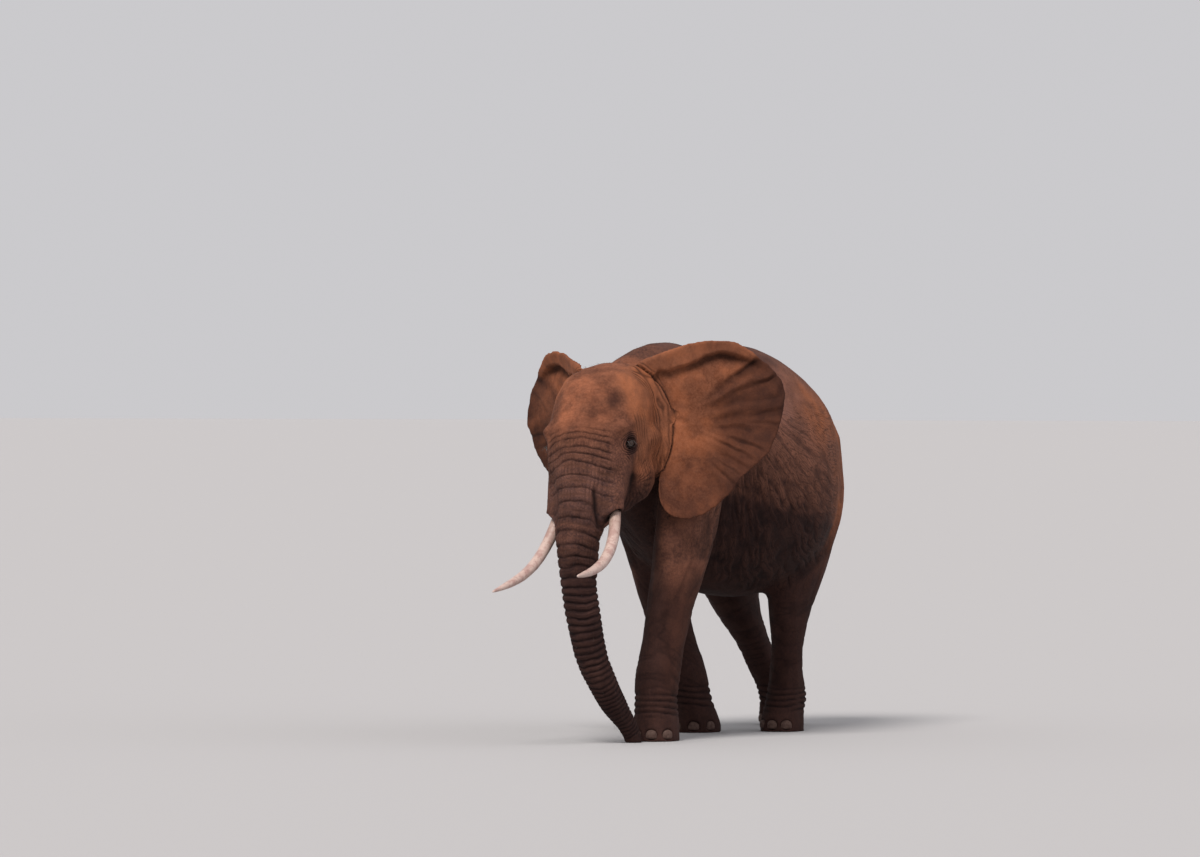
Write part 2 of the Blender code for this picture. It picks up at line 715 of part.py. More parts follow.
def main():
    for old in list(bpy.data.objects):
        bpy.data.objects.remove(old)
    body = flesh()
    pieces = []
    for word, side in SIDES.items():
        pieces += side_pieces(body, side, word)
    pieces += tail_pieces(body)
    pieces += legs(body)
    parted = [*trunk_lengths(body), lower_jaw(body)]
    parted.append(take(body, "head", [NAPE_CUT, THROAT_CUT]))
    parted.append(take(body, "neck", [WITHERS_CUT, THROAT_CUT]))
    body.name = "torso"
    pieces += [(piece, "hide") for piece in (*parted, body)]
    centre_on_ground([piece for piece, _ in pieces])
    group = bpy.data.collections.new("elephant")
    bpy.context.scene.collection.children.link(group)
    for piece, kind in pieces:
        finish(piece, kind, group)


main()
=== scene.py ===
"""The finish of a life-size African savanna elephant.

One skin goes over all the flesh: it is melted from the solids, smoothed, then
sculpted with trunk rings, folds, eyelids, ear ribs and nail beds. The eyes, the
ivory and the toenails stay pieces of their own, and the lashes, bristles and tail
tuft are thin closed hairs of mesh. She faces -Y and her left side is +X. Lengths
are in metres. In the head's own axes a place is out, back and up from between the
eyes.
"""

import math
from contextlib import contextmanager
from functools import cache
from itertools import product

import bmesh
import bpy
import numpy as np
from mathutils import Matrix, Vector
from mathutils.bvhtree import BVHTree


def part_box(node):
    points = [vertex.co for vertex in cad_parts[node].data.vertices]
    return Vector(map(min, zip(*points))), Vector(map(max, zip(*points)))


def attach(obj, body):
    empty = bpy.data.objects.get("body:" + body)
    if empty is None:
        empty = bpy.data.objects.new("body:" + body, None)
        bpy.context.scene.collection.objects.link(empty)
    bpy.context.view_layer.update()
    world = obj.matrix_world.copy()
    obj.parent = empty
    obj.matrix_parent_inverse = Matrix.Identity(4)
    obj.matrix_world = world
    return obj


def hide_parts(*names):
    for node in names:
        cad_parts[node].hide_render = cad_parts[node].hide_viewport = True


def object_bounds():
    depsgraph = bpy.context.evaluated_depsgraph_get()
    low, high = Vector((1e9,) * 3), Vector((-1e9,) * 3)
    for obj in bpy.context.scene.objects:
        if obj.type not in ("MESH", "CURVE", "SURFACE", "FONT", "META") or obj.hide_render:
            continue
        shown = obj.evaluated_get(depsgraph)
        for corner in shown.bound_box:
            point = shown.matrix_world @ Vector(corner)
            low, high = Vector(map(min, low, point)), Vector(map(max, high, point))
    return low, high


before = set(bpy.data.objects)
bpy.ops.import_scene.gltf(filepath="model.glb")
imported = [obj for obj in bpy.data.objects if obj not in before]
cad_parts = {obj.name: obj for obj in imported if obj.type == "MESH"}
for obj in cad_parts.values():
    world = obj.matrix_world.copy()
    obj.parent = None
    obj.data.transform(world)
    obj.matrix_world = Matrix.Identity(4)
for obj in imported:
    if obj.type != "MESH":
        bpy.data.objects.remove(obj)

CAD_LOW, CAD_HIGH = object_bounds()
SIDES = {"left": 1, "right": -1}
UPWARDS = Vector((0, 0, 1))


# ---------------------------------------------------------------- landmarks
def middle(node):
    """The middle of a solid's box."""
    low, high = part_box(node)
    return (low + high) / 2


EYE = {word: middle(f"eye_{word}") for word in SIDES}
FACE = (EYE["left"] + EYE["right"]) / 2  # midway between the eyes
FACE_SIDE = (EYE["left"] - EYE["right"]).normalized()
FACE_AHEAD = FACE_SIDE.cross(UPWARDS).normalized()
FACE_UP = FACE_AHEAD.cross(FACE_SIDE)
FACE_AXES = np.array([FACE_SIDE, -FACE_AHEAD, FACE_UP])  # out to her left, back, up

# ---------------------------------------------------------------- sizes
SKIN_VOXEL = 0.010
SKIN_TRIANGLES = 198_000
SWELL = 0.0009  # closes the thin cuts between the solids
MERGE = 1e-5
BOX_GAP = 0.0005  # every piece stays this far inside the animal's own box
BOX_SOFT = 0.03  # and is drawn in softly from this far before it
EYE_RADIUS = (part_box("eye_left")[1].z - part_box("eye_left")[0].z) / 2
LID_OPENING = (0.030, 0.0205)  # half width and half height between the lids
LID_THICKNESS = 0.004


# ---------------------------------------------------------------- numbers over the skin
def lottery(cells, seed):
    """A number from 0 to 1 for each whole-numbered cell, the same every time."""
    mixed = cells @ np.array((73856093, 19349663, 83492791)) + seed * 2654435761
    mixed = (mixed ^ (mixed >> 15)) * 2246822519 % 4294967296
    mixed = (mixed ^ (mixed >> 13)) * 3266489917 % 4294967296
    return ((mixed ^ (mixed >> 16)) % 65536) / 65536


def wander(points, size, seed=0):
    """Smooth unevenness from -1 to 1, in lumps of about this size."""
    at = points / size
    cell = np.floor(at).astype(np.int64)
    part = at - cell
    part = part * part * (3 - 2 * part)
    total = np.zeros(len(points))
    for corner in product((0, 1), repeat=3):
        weight = np.prod(np.where(corner, part, 1 - part), axis=1)
        total += weight * lottery(cell + corner, seed)
    return 2 * total - 1


def net(points, size, width, seed=0, mask=None):
    """Creases of skin: 1 on the borders of cells of this size, 0 inside them."""
    chosen = np.ones(len(points), bool) if mask is None else mask > 0.01
    at = points[chosen] / size
    cell = np.floor(at).astype(np.int64)
    best = np.full(len(at), 9.0)
    second = best.copy()
    for step in product((-1, 0, 1), repeat=3):
        home = cell + step
        spot = home + np.column_stack([lottery(home, seed + k) for k in range(3)])
        gap = ((at - spot) ** 2).sum(axis=1)
        second = np.minimum(second, np.maximum(best, gap))
        best = np.minimum(best, gap)
    creases = np.zeros(len(points))
    creases[chosen] = np.exp(-(((np.sqrt(second) - np.sqrt(best)) / width) ** 2))
    return creases


def ramp(values, start, end):
    """0 before start, 1 after end, eased between. It falls if end comes first."""
    t = np.clip((values - start) / (end - start), 0, 1)
    return t * t * (3 - 2 * t)


def within(values, low, high, soft):
    """1 between low and high, fading out over soft on either side."""
    return ramp(values, low - soft, low) * ramp(values, high + soft, high)


def valleys(phase, width=0.16):
    """Narrow creases at whole numbers of phase: 1 in a crease."""
    off = phase - np.round(phase)
    return np.exp(-((off / width) ** 2))


# ---------------------------------------------------------------- meshes
def points_of(mesh):
    flat = np.empty(len(mesh.vertices) * 3)
    mesh.vertices.foreach_get("co", flat)
    return flat.reshape(-1, 3)


def normals_of(mesh):
    flat = np.empty(len(mesh.vertices) * 3)
    mesh.vertex_normals.foreach_get("vector", flat)
    return flat.reshape(-1, 3)


def move_points(mesh, points):
    mesh.vertices.foreach_set("co", points.ravel())
    mesh.update()


def kept_inside(mesh):
    """Draws in whatever stands out of the animal's own box, and flattens the soles."""
    points = points_of(mesh)
    for k in range(3):
        low = CAD_LOW[k] + BOX_GAP
        high = CAD_HIGH[k] - BOX_GAP
        over = np.clip(points[:, k] - (high - BOX_SOFT), 0, None)
        points[:, k] += BOX_SOFT * np.tanh(over / BOX_SOFT) - over
        if k < 2:
            under = np.clip(low + BOX_SOFT - points[:, k], 0, None)
            points[:, k] += under - BOX_SOFT * np.tanh(under / BOX_SOFT)
        points[:, k] = np.clip(points[:, k], low, high)
    move_points(mesh, points)


@contextmanager
def edited(mesh):
    """Opens a mesh for operators, and writes it back afterwards."""
    bm = bmesh.new()
    bm.from_mesh(mesh)
    yield bm
    bm.to_mesh(mesh)
    bm.free()


def weld(mesh):
    """Joins the points that lie in one place."""
    with edited(mesh) as bm:
        bmesh.ops.remove_doubles(bm, verts=bm.verts, dist=MERGE)


def new_object(name, mesh):
    made = bpy.data.objects.new(name, mesh)
    bpy.context.scene.collection.objects.link(made)
    return made


def bake(obj):
    """Replaces the object's mesh by what its modifiers make of it."""
    bpy.context.view_layer.update()
    graph = bpy.context.evaluated_depsgraph_get()
    mesh = bpy.data.meshes.new_from_object(obj.evaluated_get(graph))
    obj.modifiers.clear()
    obj.data = mesh


def melted(name, nodes, voxel):
    """One closed surface round copies of these solids."""
    whole = bmesh.new()
    for node in nodes:
        piece = bmesh.new()
        piece.from_mesh(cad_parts[node].data)
        bmesh.ops.remove_doubles(piece, verts=piece.verts, dist=MERGE)
        piece.normal_update()
        for vert in piece.verts:
            vert.co += vert.normal * SWELL
        copy = bpy.data.meshes.new("copy")
        piece.to_mesh(copy)
        piece.free()
        whole.from_mesh(copy)
        bpy.data.meshes.remove(copy)
    mesh = bpy.data.meshes.new(name)
    whole.to_mesh(mesh)
    whole.free()
    made = new_object(name, mesh)
    remesh = made.modifiers.new("melt", "REMESH")
    remesh.mode = "VOXEL"
    remesh.voxel_size = voxel
    bake(made)
    return made


def edges_of(mesh):
    flat = np.empty(len(mesh.edges) * 2, np.int32)
    mesh.edges.foreach_get("vertices", flat)
    return flat.reshape(-1, 2)


def blended(mask, edges, rounds):
    """A mask spread softly over the surface."""
    a, b = edges.T
    count = len(mask)
    degree = np.bincount(a, minlength=count) + np.bincount(b, minlength=count)
    mask = mask.astype(float)
    for _ in range(rounds):
        around = np.bincount(a, mask[b], count) + np.bincount(b, mask[a], count)
        mask = (mask + around / degree) / 2
    return mask


def relaxed(points, edges, rounds, keep=0.53):
    """Irons out facets and leaves the form, by turns shrinking and swelling."""
    a, b = edges.T
    count = len(points)
    degree = np.bincount(a, minlength=count) + np.bincount(b, minlength=count)
    points = points.copy()
    for _ in range(rounds):
        for factor in (0.5, -keep):
            around = np.empty_like(points)
            for k in range(3):
                around[:, k] = np.bincount(a, points[b, k], count)
                around[:, k] += np.bincount(b, points[a, k], count)
            points += factor * (around / degree[:, None] - points)
    return points


def ironed(points, edges, mask, cell, rounds, swell):
    """Irons out larger facets, by moving whole cells of points together."""
    home = np.unique(np.floor(points / cell).astype(int), axis=0, return_inverse=True)[1]
    home = home.ravel()
    size = np.bincount(home)
    middles = np.column_stack([np.bincount(home, points[:, k]) / size for k in range(3)])
    links = np.sort(home[edges], axis=1)
    links = np.unique(links[links[:, 0] != links[:, 1]], axis=0)
    moved = (relaxed(middles, links, rounds, swell) - middles)[home]
    for k in range(3):
        points = points.copy()
        points[:, k] += mask * blended(moved[:, k], edges, 12)
    return points


def refine(mesh, chosen):
    """Splits each edge between two chosen points in half."""
    with edited(mesh) as bm:
        picked = {v for v, wanted in zip(bm.verts, chosen) if wanted}
        edges = [e for e in bm.edges if e.verts[0] in picked and e.verts[1] in picked]
        bmesh.ops.subdivide_edges(bm, edges=edges, cuts=1, use_grid_fill=True, smooth=0)


def thinned(obj, triangles):
    """Brings the object down to about this many triangles."""
    obj.data.calc_loop_triangles()
    thin = obj.modifiers.new("thin", "DECIMATE")
    thin.ratio = min(1, triangles / len(obj.data.loop_triangles))
    bake(obj)


def near_line(points, line):
    """For each point: how far along the line its nearest place is, and the offset."""
    line = np.asarray(line, float)
    steps = np.linalg.norm(np.diff(line, axis=0), axis=1)
    along = np.concatenate([[0], np.cumsum(steps)])
    best = np.full(len(points), 1e9)
    where = np.zeros(len(points))
    offset = np.zeros_like(points)
    for start, end, before, step in zip(line, line[1:], along, steps):
        way = (end - start) / step
        t = np.clip((points - start) @ way, 0, step)
        away = points - (start + t[:, None] * way)
        gap = (away**2).sum(axis=1)
        closer = gap < best
        best[closer] = gap[closer]
        where[closer] = before + t[closer]
        offset[closer] = away[closer]
    return where, offset


# ---------------------------------------------------------------- the skin
FLESH = [
    node
    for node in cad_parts
    if not node.startswith(("tusk", "toenail", "eye_", "tail_tuft"))
]
NAILS = [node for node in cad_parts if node.startswith("toenail")]


def in_face_axes(points):
    """Places in the head's own axes: to her left, back and up from between the eyes."""
    return (points - np.array(FACE)) @ FACE_AXES.T


def from_face_axes(places):
    """The other way round: out, back and up from between the eyes to world places."""
    return np.asarray(places, float) @ FACE_AXES + np.array(FACE)


def nearest_node(points):
    """The number in FLESH of the solid that each point lies on."""
    corners = []
    faces = []
    owner = []
    for number, node in enumerate(FLESH):
        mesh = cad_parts[node].data
        base = len(corners)
        corners += [tuple(v.co) for v in mesh.vertices]
        faces += [[base + k for k in p.vertices] for p in mesh.polygons]
        owner += [number] * len(mesh.polygons)
    tree = BVHTree.FromPolygons(corners, faces)
    return np.array([owner[tree.find_nearest(p)[2]] for p in points.tolist()])


# What each point of the skin tells the hide's material. crease is painted shade in sunk folds and
# hollows; ridge is dust and painted highlight on the tops of rolls; dark is the hide's darker
# tone together with painted shade.
MARKS = ("crease", "ridge", "rust", "rose", "ash", "dark", "fold", "fold_u", "fold_v")


class Hide:
    """The skin while it is sculpted: where its points are, and what has been pushed."""

    def __init__(self, mesh):
        self.points = points_of(mesh)
        self.normals = normals_of(mesh)
        self.edges = edges_of(mesh)
        self.node = nearest_node(self.points)
        self.face = in_face_axes(self.points)
        self.push = np.zeros_like(self.points)
        self.eye_gap = np.full(len(self.points), 9.0)
        for name in (*MARKS, "ears", "ear_low", "soften"):
            setattr(self, name, np.zeros(len(self.points)))
        self.loose = wander(self.points, 0.15, 1)
        self.fine = wander(self.points, 0.05, 2)

    def on(self, *starts, rounds=12):
        """How much each point belongs to the solids whose names start so."""
        wanted = [k for k, node in enumerate(FLESH) if node.startswith(starts)]
        return blended(np.isin(self.node, wanted), self.edges, rounds)

    def raise_by(self, height):
        self.push += self.normals * height[:, None]

    def cut(self, depth, dark):
        """Sinks creases of this depth and notes how much painted shade darkens them."""
        self.raise_by(-depth)
        self.crease = np.maximum(self.crease, dark)

    def lined(self, mask, much, across, along):
        """Fine creases that run with along, a unit of across apart; the hide's material paints
        shade into them.
        """
        here = mask > 0.5
        self.fold[here] = (much * ramp(mask, 0.55, 0.85))[here]
        self.fold_u[here] = across[here]
        self.fold_v[here] = along[here]

    def add_dust_and_highlight(self, amount):
        """Notes where the hide is painted lighter: dust caught on the tops of rolls, with painted
        highlight there and on the sunlit temples and hips.
        """
        self.ridge = np.maximum(self.ridge, amount)


def trunk_line(hide):
    """The trunk's middle line, from between the eyes down to the tip."""
    root = [(0, -0.02, 0.10), (0, -0.08, 0), (0, -0.13, -0.18), (0, -0.17, -0.34)]
    line = list(from_face_axes(root))
    wanted = [k for k, node in enumerate(FLESH) if node.startswith("trunk")]
    trunk = hide.points[np.isin(hide.node, wanted)]
    for z in np.arange(line[-1][2] - 0.30, 0.03, -0.05):
        ring = trunk[np.abs(trunk[:, 2] - z) < 0.02]
        if len(ring) > 20:
            line.append((ring.min(axis=0) + ring.max(axis=0)) / 2)
    line = np.array(line)
    for _ in range(3):
        line[1:-1] = (line[:-2] + 2 * line[1:-1] + line[2:]) / 4
    return line


# Down the trunk, from between the eyes: where, how far apart the rings are there, how
# deep they are, and how much of the gap each takes up.
RING_STATIONS = (0, 0.18, 0.32, 0.45, 0.62, 0.80, 1.00, 1.30, 1.65, 2.2)
RING_GAPS = (0.036, 0.044, 0.072, 0.090, 0.085, 0.062, 0.050, 0.043, 0.034, 0.024)
RING_DEPTHS = (0.006, 0.007, 0.008, 0.008, 0.009, 0.011, 0.012, 0.011, 0.008, 0.004)
RING_WIDTHS = (0.18, 0.15, 0.09, 0.08, 0.10, 0.15, 0.22, 0.24, 0.26, 0.27)


def ring_count(s):
    """How many rings lie above each place down the trunk."""
    along = np.linspace(0, 2.4, 2401)
    per_step = 0.001 / np.interp(along, RING_STATIONS, RING_GAPS)
    return np.interp(s, along, np.concatenate([[0], np.cumsum(per_step)[:-1]]))


def trunk_rings(hide):
    """Rings round the trunk, a brick-like net above the tusks, arches over the brow."""
    s, off = near_line(hide.points, trunk_line(hide))
    trunk = hide.on("trunk", rounds=10)
    side = off @ np.array(FACE_SIDE)
    ahead = off @ np.array(FACE_AHEAD)
    girth = np.linalg.norm(off, axis=1)
    turn = np.arctan2(side, ahead)
    root = within(girth, 0, 0.215, 0.03) * ramp(ahead, -0.03, 0.05) * ramp(s, 0.0, 0.09)
    root *= hide.on("head", "lower_jaw", rounds=8)
    mask = np.maximum(trunk, root)
    droop = 0.04 * (1 - np.cos(turn)) * ramp(s, 1.3, 0.5)
    warped = s - droop + 0.011 * wander(hide.points, 0.11, 3)
    warped += 0.005 * wander(hide.points, 0.035, 4)
    phase = ring_count(warped)
    depth = np.interp(s, RING_STATIONS, RING_DEPTHS)
    off_ring = phase - np.round(phase)
    ring = np.exp(-((off_ring / np.interp(s, RING_STATIONS, RING_WIDTHS)) ** 2))
    ring *= 0.75 + 0.25 * wander(hide.points, 0.10, 5)
    # Painted shade in the rings' valleys, and below in the finer creases between and along them.
    hide.cut(mask * depth * ring, mask * ring)
    # Dust and painted highlight on the rolls between the rings.
    hide.add_dust_and_highlight(0.8 * mask * ramp(np.abs(off_ring), 0.30, 0.48) * ramp(s, 2.1, 1.5))
    upper = within(s, 0.16, 0.85, 0.10)
    half = valleys(2 * phase, 0.2) * (0.5 + 0.5 * wander(hide.points, 0.06, 6))
    hide.cut(mask * 0.0024 * half * 0.8, 0.8 * mask * half)
    quarter = np.exp(-(((4 * phase - np.round(4 * phase)) / (0.2 * (1 + upper))) ** 2))
    quarter *= (0.5 + 0.5 * wander(hide.points, 0.06, 9)) * upper
    hide.cut(mask * 0.0024 * quarter * 0.5, 0.5 * mask * quarter)
    arc = turn * 0.16 + 0.006 * wander(hide.points, 0.05, 7)
    lengthwise = valleys(arc / 0.024, 0.2) * (0.6 + 0.4 * wander(hide.points, 0.05, 8))
    lengthwise *= mask * within(s, 0.14, 0.85, 0.12)
    hide.cut(0.0030 * lengthwise, 0.7 * lengthwise)
    lines = within(s, 0.10, 0.90, 0.12) + 0.30 * ramp(s, 0.9, 1.1)
    front = np.maximum(trunk, within(girth, 0, 0.26, 0.05) * ramp(ahead, -0.10, 0.0))
    front *= hide.on("head", "lower_jaw", "trunk", rounds=4)
    hide.lined(front, lines, turn * 0.16 / 0.010, s / 0.024)
    hide.along_trunk = s
    hide.trunk = mask


# Out and back from between the eyes: where each tusk comes out of the lip.
TUSK_OUT = 0.194
TUSK_BACK = -0.15


def tusk_lips(hide, word):
    """The lip slants down towards the trunk and closes round the root of the tusk."""
    way = SIDES[word]
    out, back, up = hide.face.T
    out = way * out
    head = hide.on("head", "lower_jaw", rounds=4)
    flat_gap = np.hypot(out - TUSK_OUT, back - TUSK_BACK)
    near = head * ramp(flat_gap, 0.15, 0.10) * ramp(up, -0.32, -0.42) * ramp(out, 0.09, 0.16)
    inward = ramp(-0.75 * (out - TUSK_OUT) - 0.65 * (back - TUSK_BACK), -0.045, 0.065)
    hide.push -= (0.055 * near * inward)[:, None] * np.array(FACE_UP)
    round_lip = head * ramp(flat_gap, 0.20, 0.15) * ramp(up, -0.28, -0.34)
    hide.soften = np.maximum(hide.soften, round_lip)
    down = -(hide.normals @ np.array(FACE_UP))
    ends = ((way * TUSK_OUT, -0.135, -0.36), (way * 0.206, -0.187, -0.50))
    tusk_line = from_face_axes(ends)
    gap = np.linalg.norm(near_line(hide.points, tusk_line)[1], axis=1)
    socket = head * ramp(gap, 0.060, 0.044) * ramp(down, 0.3, 0.8) * ramp(up, -0.36, -0.41)
    hide.push += (0.016 * socket)[:, None] * np.array(FACE_UP)
    # Painted shade on the underside of the lip round the tusk.
    hide.crease = np.maximum(hide.crease, head * ramp(down, 0.25, 0.7) * near)
    collar = near * ramp(down, 0.5, 0.1) * np.exp(-(((up + 0.405) / 0.022) ** 2))
    hide.raise_by(0.008 * collar)
    # Painted shade in the groove beside the tusk's sheath, and below in the slanting lines on the
    # lip's side.
    groove = np.exp(-(((out - 0.135) / 0.014) ** 2)) * within(up, -0.44, -0.30, 0.08)
    groove *= head * ramp(back, -0.02, -0.12)
    hide.cut(0.020 * groove, groove)
    side = head * within(out, 0.14, 0.30, 0.02) * within(up, -0.42, -0.12, 0.06)
    side *= ramp(back, 0.0, -0.05)
    slant = (0.55 * up + back + 0.010 * hide.loose + 0.004 * hide.fine) / 0.024
    lines = valleys(slant, 0.18) * (0.6 + 0.4 * hide.fine)
    hide.cut(0.0022 * side * lines, 0.55 * side * lines)


def flank_folds(hide):
    """Long folds that fan out from the shoulder blade over ribs and belly."""
    torso = hide.on("torso", rounds=10)
    x, y, z = hide.points.T
    across = 0.5 * y + 0.866 * np.abs(x) - 0.46
    down = 2.26 - z
    reach = np.hypot(across, down)
    fan = np.arctan2(across, down) + 0.022 * hide.loose + 0.008 * hide.fine
    facing = ramp(np.abs(hide.normals[:, 0]), 0.15, 0.45)
    body = torso * facing * ramp(y, 1.65, 1.0) * ramp(y, -0.6, -0.3)
    deep = body * within(down, 0.55, 1.8, 0.2) * ramp(fan, 0.80, 0.45)
    shallow = body * within(down, 0.28, 1.8, 0.2)
    along = reach + 0.03 * hide.loose
    sides = np.sign(x) * 3.0
    at = np.column_stack([fan * 0.75 / 0.036, along / 0.34, sides])
    wide = net(at, 1.0, 0.20, 21, deep) * np.clip(0.7 + 0.6 * hide.fine, 0, 1)
    at = np.column_stack([fan * 0.75 / 0.050, along / 0.30, sides])
    close = np.exp(-((wander(at, 1.0, 27) / 0.20) ** 2))
    # Painted shade in the folds and, below, in the small creases; dust and painted highlight on
    # the rolls between the folds.
    hide.cut(deep * wide * 0.008, 0.80 * deep * wide)
    hide.cut(shallow * close * 0.004, 0.50 * shallow * close)
    hide.add_dust_and_highlight(0.5 * body * (1 - np.maximum(wide * deep, close * shallow)))
    rest = torso * (0.25 + 0.45 * ramp(down, 1.3, 1.8))
    warped = hide.points * (1, 0.6, 1) + 0.012 * hide.loose[:, None]
    small = net(warped, 0.034, 0.22, 31, rest)
    hide.cut(rest * small * 0.0020, 0.4 * rest * small)
    ways = fan * 0.75 / 0.013 + 9 * (x > 0)
    hide.lined(torso, 0.30 + 0.85 * shallow, ways, along / 0.075)
    blade = np.exp(-(((y + 0.18) / 0.16) ** 2 + ((z - 1.75) / 0.30) ** 2))
    hip = np.exp(-(((y - 1.30) / 0.20) ** 2 + ((z - 2.02) / 0.16) ** 2))
    knob = np.exp(-(((y - 1.02) / 0.03) ** 2 + (x / 0.05) ** 2)) * ramp(z, 2.2, 2.3)
    hide.raise_by(torso * (0.012 * blade + 0.014 * hip + 0.016 * knob))
    hide.torso = torso


def leg_folds(hide):
    """Wrist and ankle rolls, and slanting creases up the arms and thighs."""
    x, y, z = hide.points.T
    for start, wrist, slant in (("foreleg", 0.225, 0.35), ("hindleg", 0.20, -0.25)):
        foot = start[:4] + "foot"
        leg = hide.on(start, foot, rounds=10)
        lean = slant * (y - 0.3 * np.abs(x))
        phase = (z + 0.014 * hide.loose + 0.25 * lean) / 0.038
        roll = valleys(phase, 0.20) * within(z, wrist - 0.05, wrist + 0.06, 0.04)
        roll *= 0.75 + 0.25 * hide.fine
        # Painted shade in the wrist and ankle rolls and in the creases higher up; dust and
        # painted highlight between the rolls.
        hide.cut(leg * roll * 0.013, leg * roll)
        hide.add_dust_and_highlight(0.35 * leg * (1 - roll))
        knee = leg * within(z, 0.32, 0.80, 0.10)
        at = np.column_stack([(z + 1.6 * lean) / 0.045, x / 0.22, y / 0.22])
        creases = np.exp(-((wander(at + 0.30 * hide.loose[:, None], 1.0, 41) / 0.18) ** 2))
        hide.cut(knee * creases * 0.0035, 0.5 * knee * creases)
        upper = leg * ramp(z, 0.75, 0.95)
        at = np.column_stack([(y * 0.6 + np.abs(x) - 0.45 * z) / 0.05, z / 0.35, x / 0.4])
        lines = np.exp(-((wander(at + 0.25 * hide.loose[:, None], 1.0, 43) / 0.16) ** 2))
        hide.cut(upper * lines * 0.003, 0.42 * upper * lines)
        climb = y * 0.6 + np.abs(x) - 0.35 * z
        hide.lined(leg, 0.35 + 0.20 * upper, climb / 0.011, z / 0.030)
        low = leg * ramp(z, 0.85, 0.72)
        ways = (z + 1.3 * lean) / 0.010
        hide.lined(low, 0.50 + 0 * z, ways, (x + y) / 0.026)
    hide.legs = hide.on("foreleg", "hindleg", "forefoot", "hindfoot", rounds=10)


EAR_ROOT = [  # out, back and up from between the eyes
    (0.150, 0.260, 0.475),
    (0.235, 0.400, 0.360),
    (0.285, 0.470, 0.210),
    (0.290, 0.455, 0.010),
    (0.255, 0.400, -0.200),
]


def ear_root(word):
    """The line down which this ear joins the head."""
    way = SIDES[word]
    return from_face_axes([(way * out, back, up) for out, back, up in EAR_ROOT])


def root_gap(points, word):
    """How far each point lies from the root of this ear."""
    return np.linalg.norm(near_line(points, ear_root(word))[1], axis=1)


EAR_TURNS = (0.30, 0.62, 0.92, 1.35, 1.78, 2.10, 2.60)  # places round the ear's rim
FLAP_WIDTHS = (0.040, 0.055, 0.095, 0.125, 0.140, 0.190, 0.190)  # of its turned-over top
GUTTER_DEPTHS = (1.0, 1.0, 0.9, 0.45, 0.4, 0.8, 0.5)  # beneath the turned-over top
RIB_SHARE = {"left": 1.0, "right": 0.40}  # her right ear is drawn tighter


class EarPlane:
    """The ear laid out flat: across and up from its middle, and round its hinge."""

    def __init__(self, hide, word):
        way = SIDES[word]
        corners = np.array([v.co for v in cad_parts[f"ear_{word}"].data.vertices])
        centre = (corners.min(axis=0) + corners.max(axis=0)) / 2
        self.on = hide.on(f"ear_{word}", rounds=6)
        thin = np.linalg.svd(corners - corners.mean(axis=0), full_matrices=False)[2][2]
        self.thin = -np.sign(thin[1]) * thin
        up = np.array((0, 0, 1)) - self.thin[2] * self.thin
        up /= np.linalg.norm(up)
        out = np.cross(self.thin, up)
        out *= np.sign(out[0] * way)
        across = (hide.points - centre) @ out
        self.up = (hide.points - centre) @ up
        turns, rim = self.outline((corners - centre) @ out, (corners - centre) @ up)
        self.inside = np.interp(np.arctan2(self.up, across), turns, rim)
        self.inside -= np.hypot(across, self.up)
        hinge = across[self.on > 0.5].min() + 0.22
        height = self.up[self.on > 0.5].max() - 0.52
        self.fan = np.arctan2(self.up - height, across - hinge)
        self.reach = np.hypot(across - hinge, self.up - height)

    def outline(self, a, b):
        """How far the rim is from the ear's middle, at each of 61 turns."""
        turns = np.linspace(-math.pi, math.pi, 61)
        angle = np.arctan2(b, a)
        far = np.hypot(a, b)
        rim = [far[np.abs(angle - turn) < 0.16].max(initial=0) for turn in turns]
        rim[0] = rim[-1] = max(rim[0], rim[-1])
        return turns, np.array(rim)


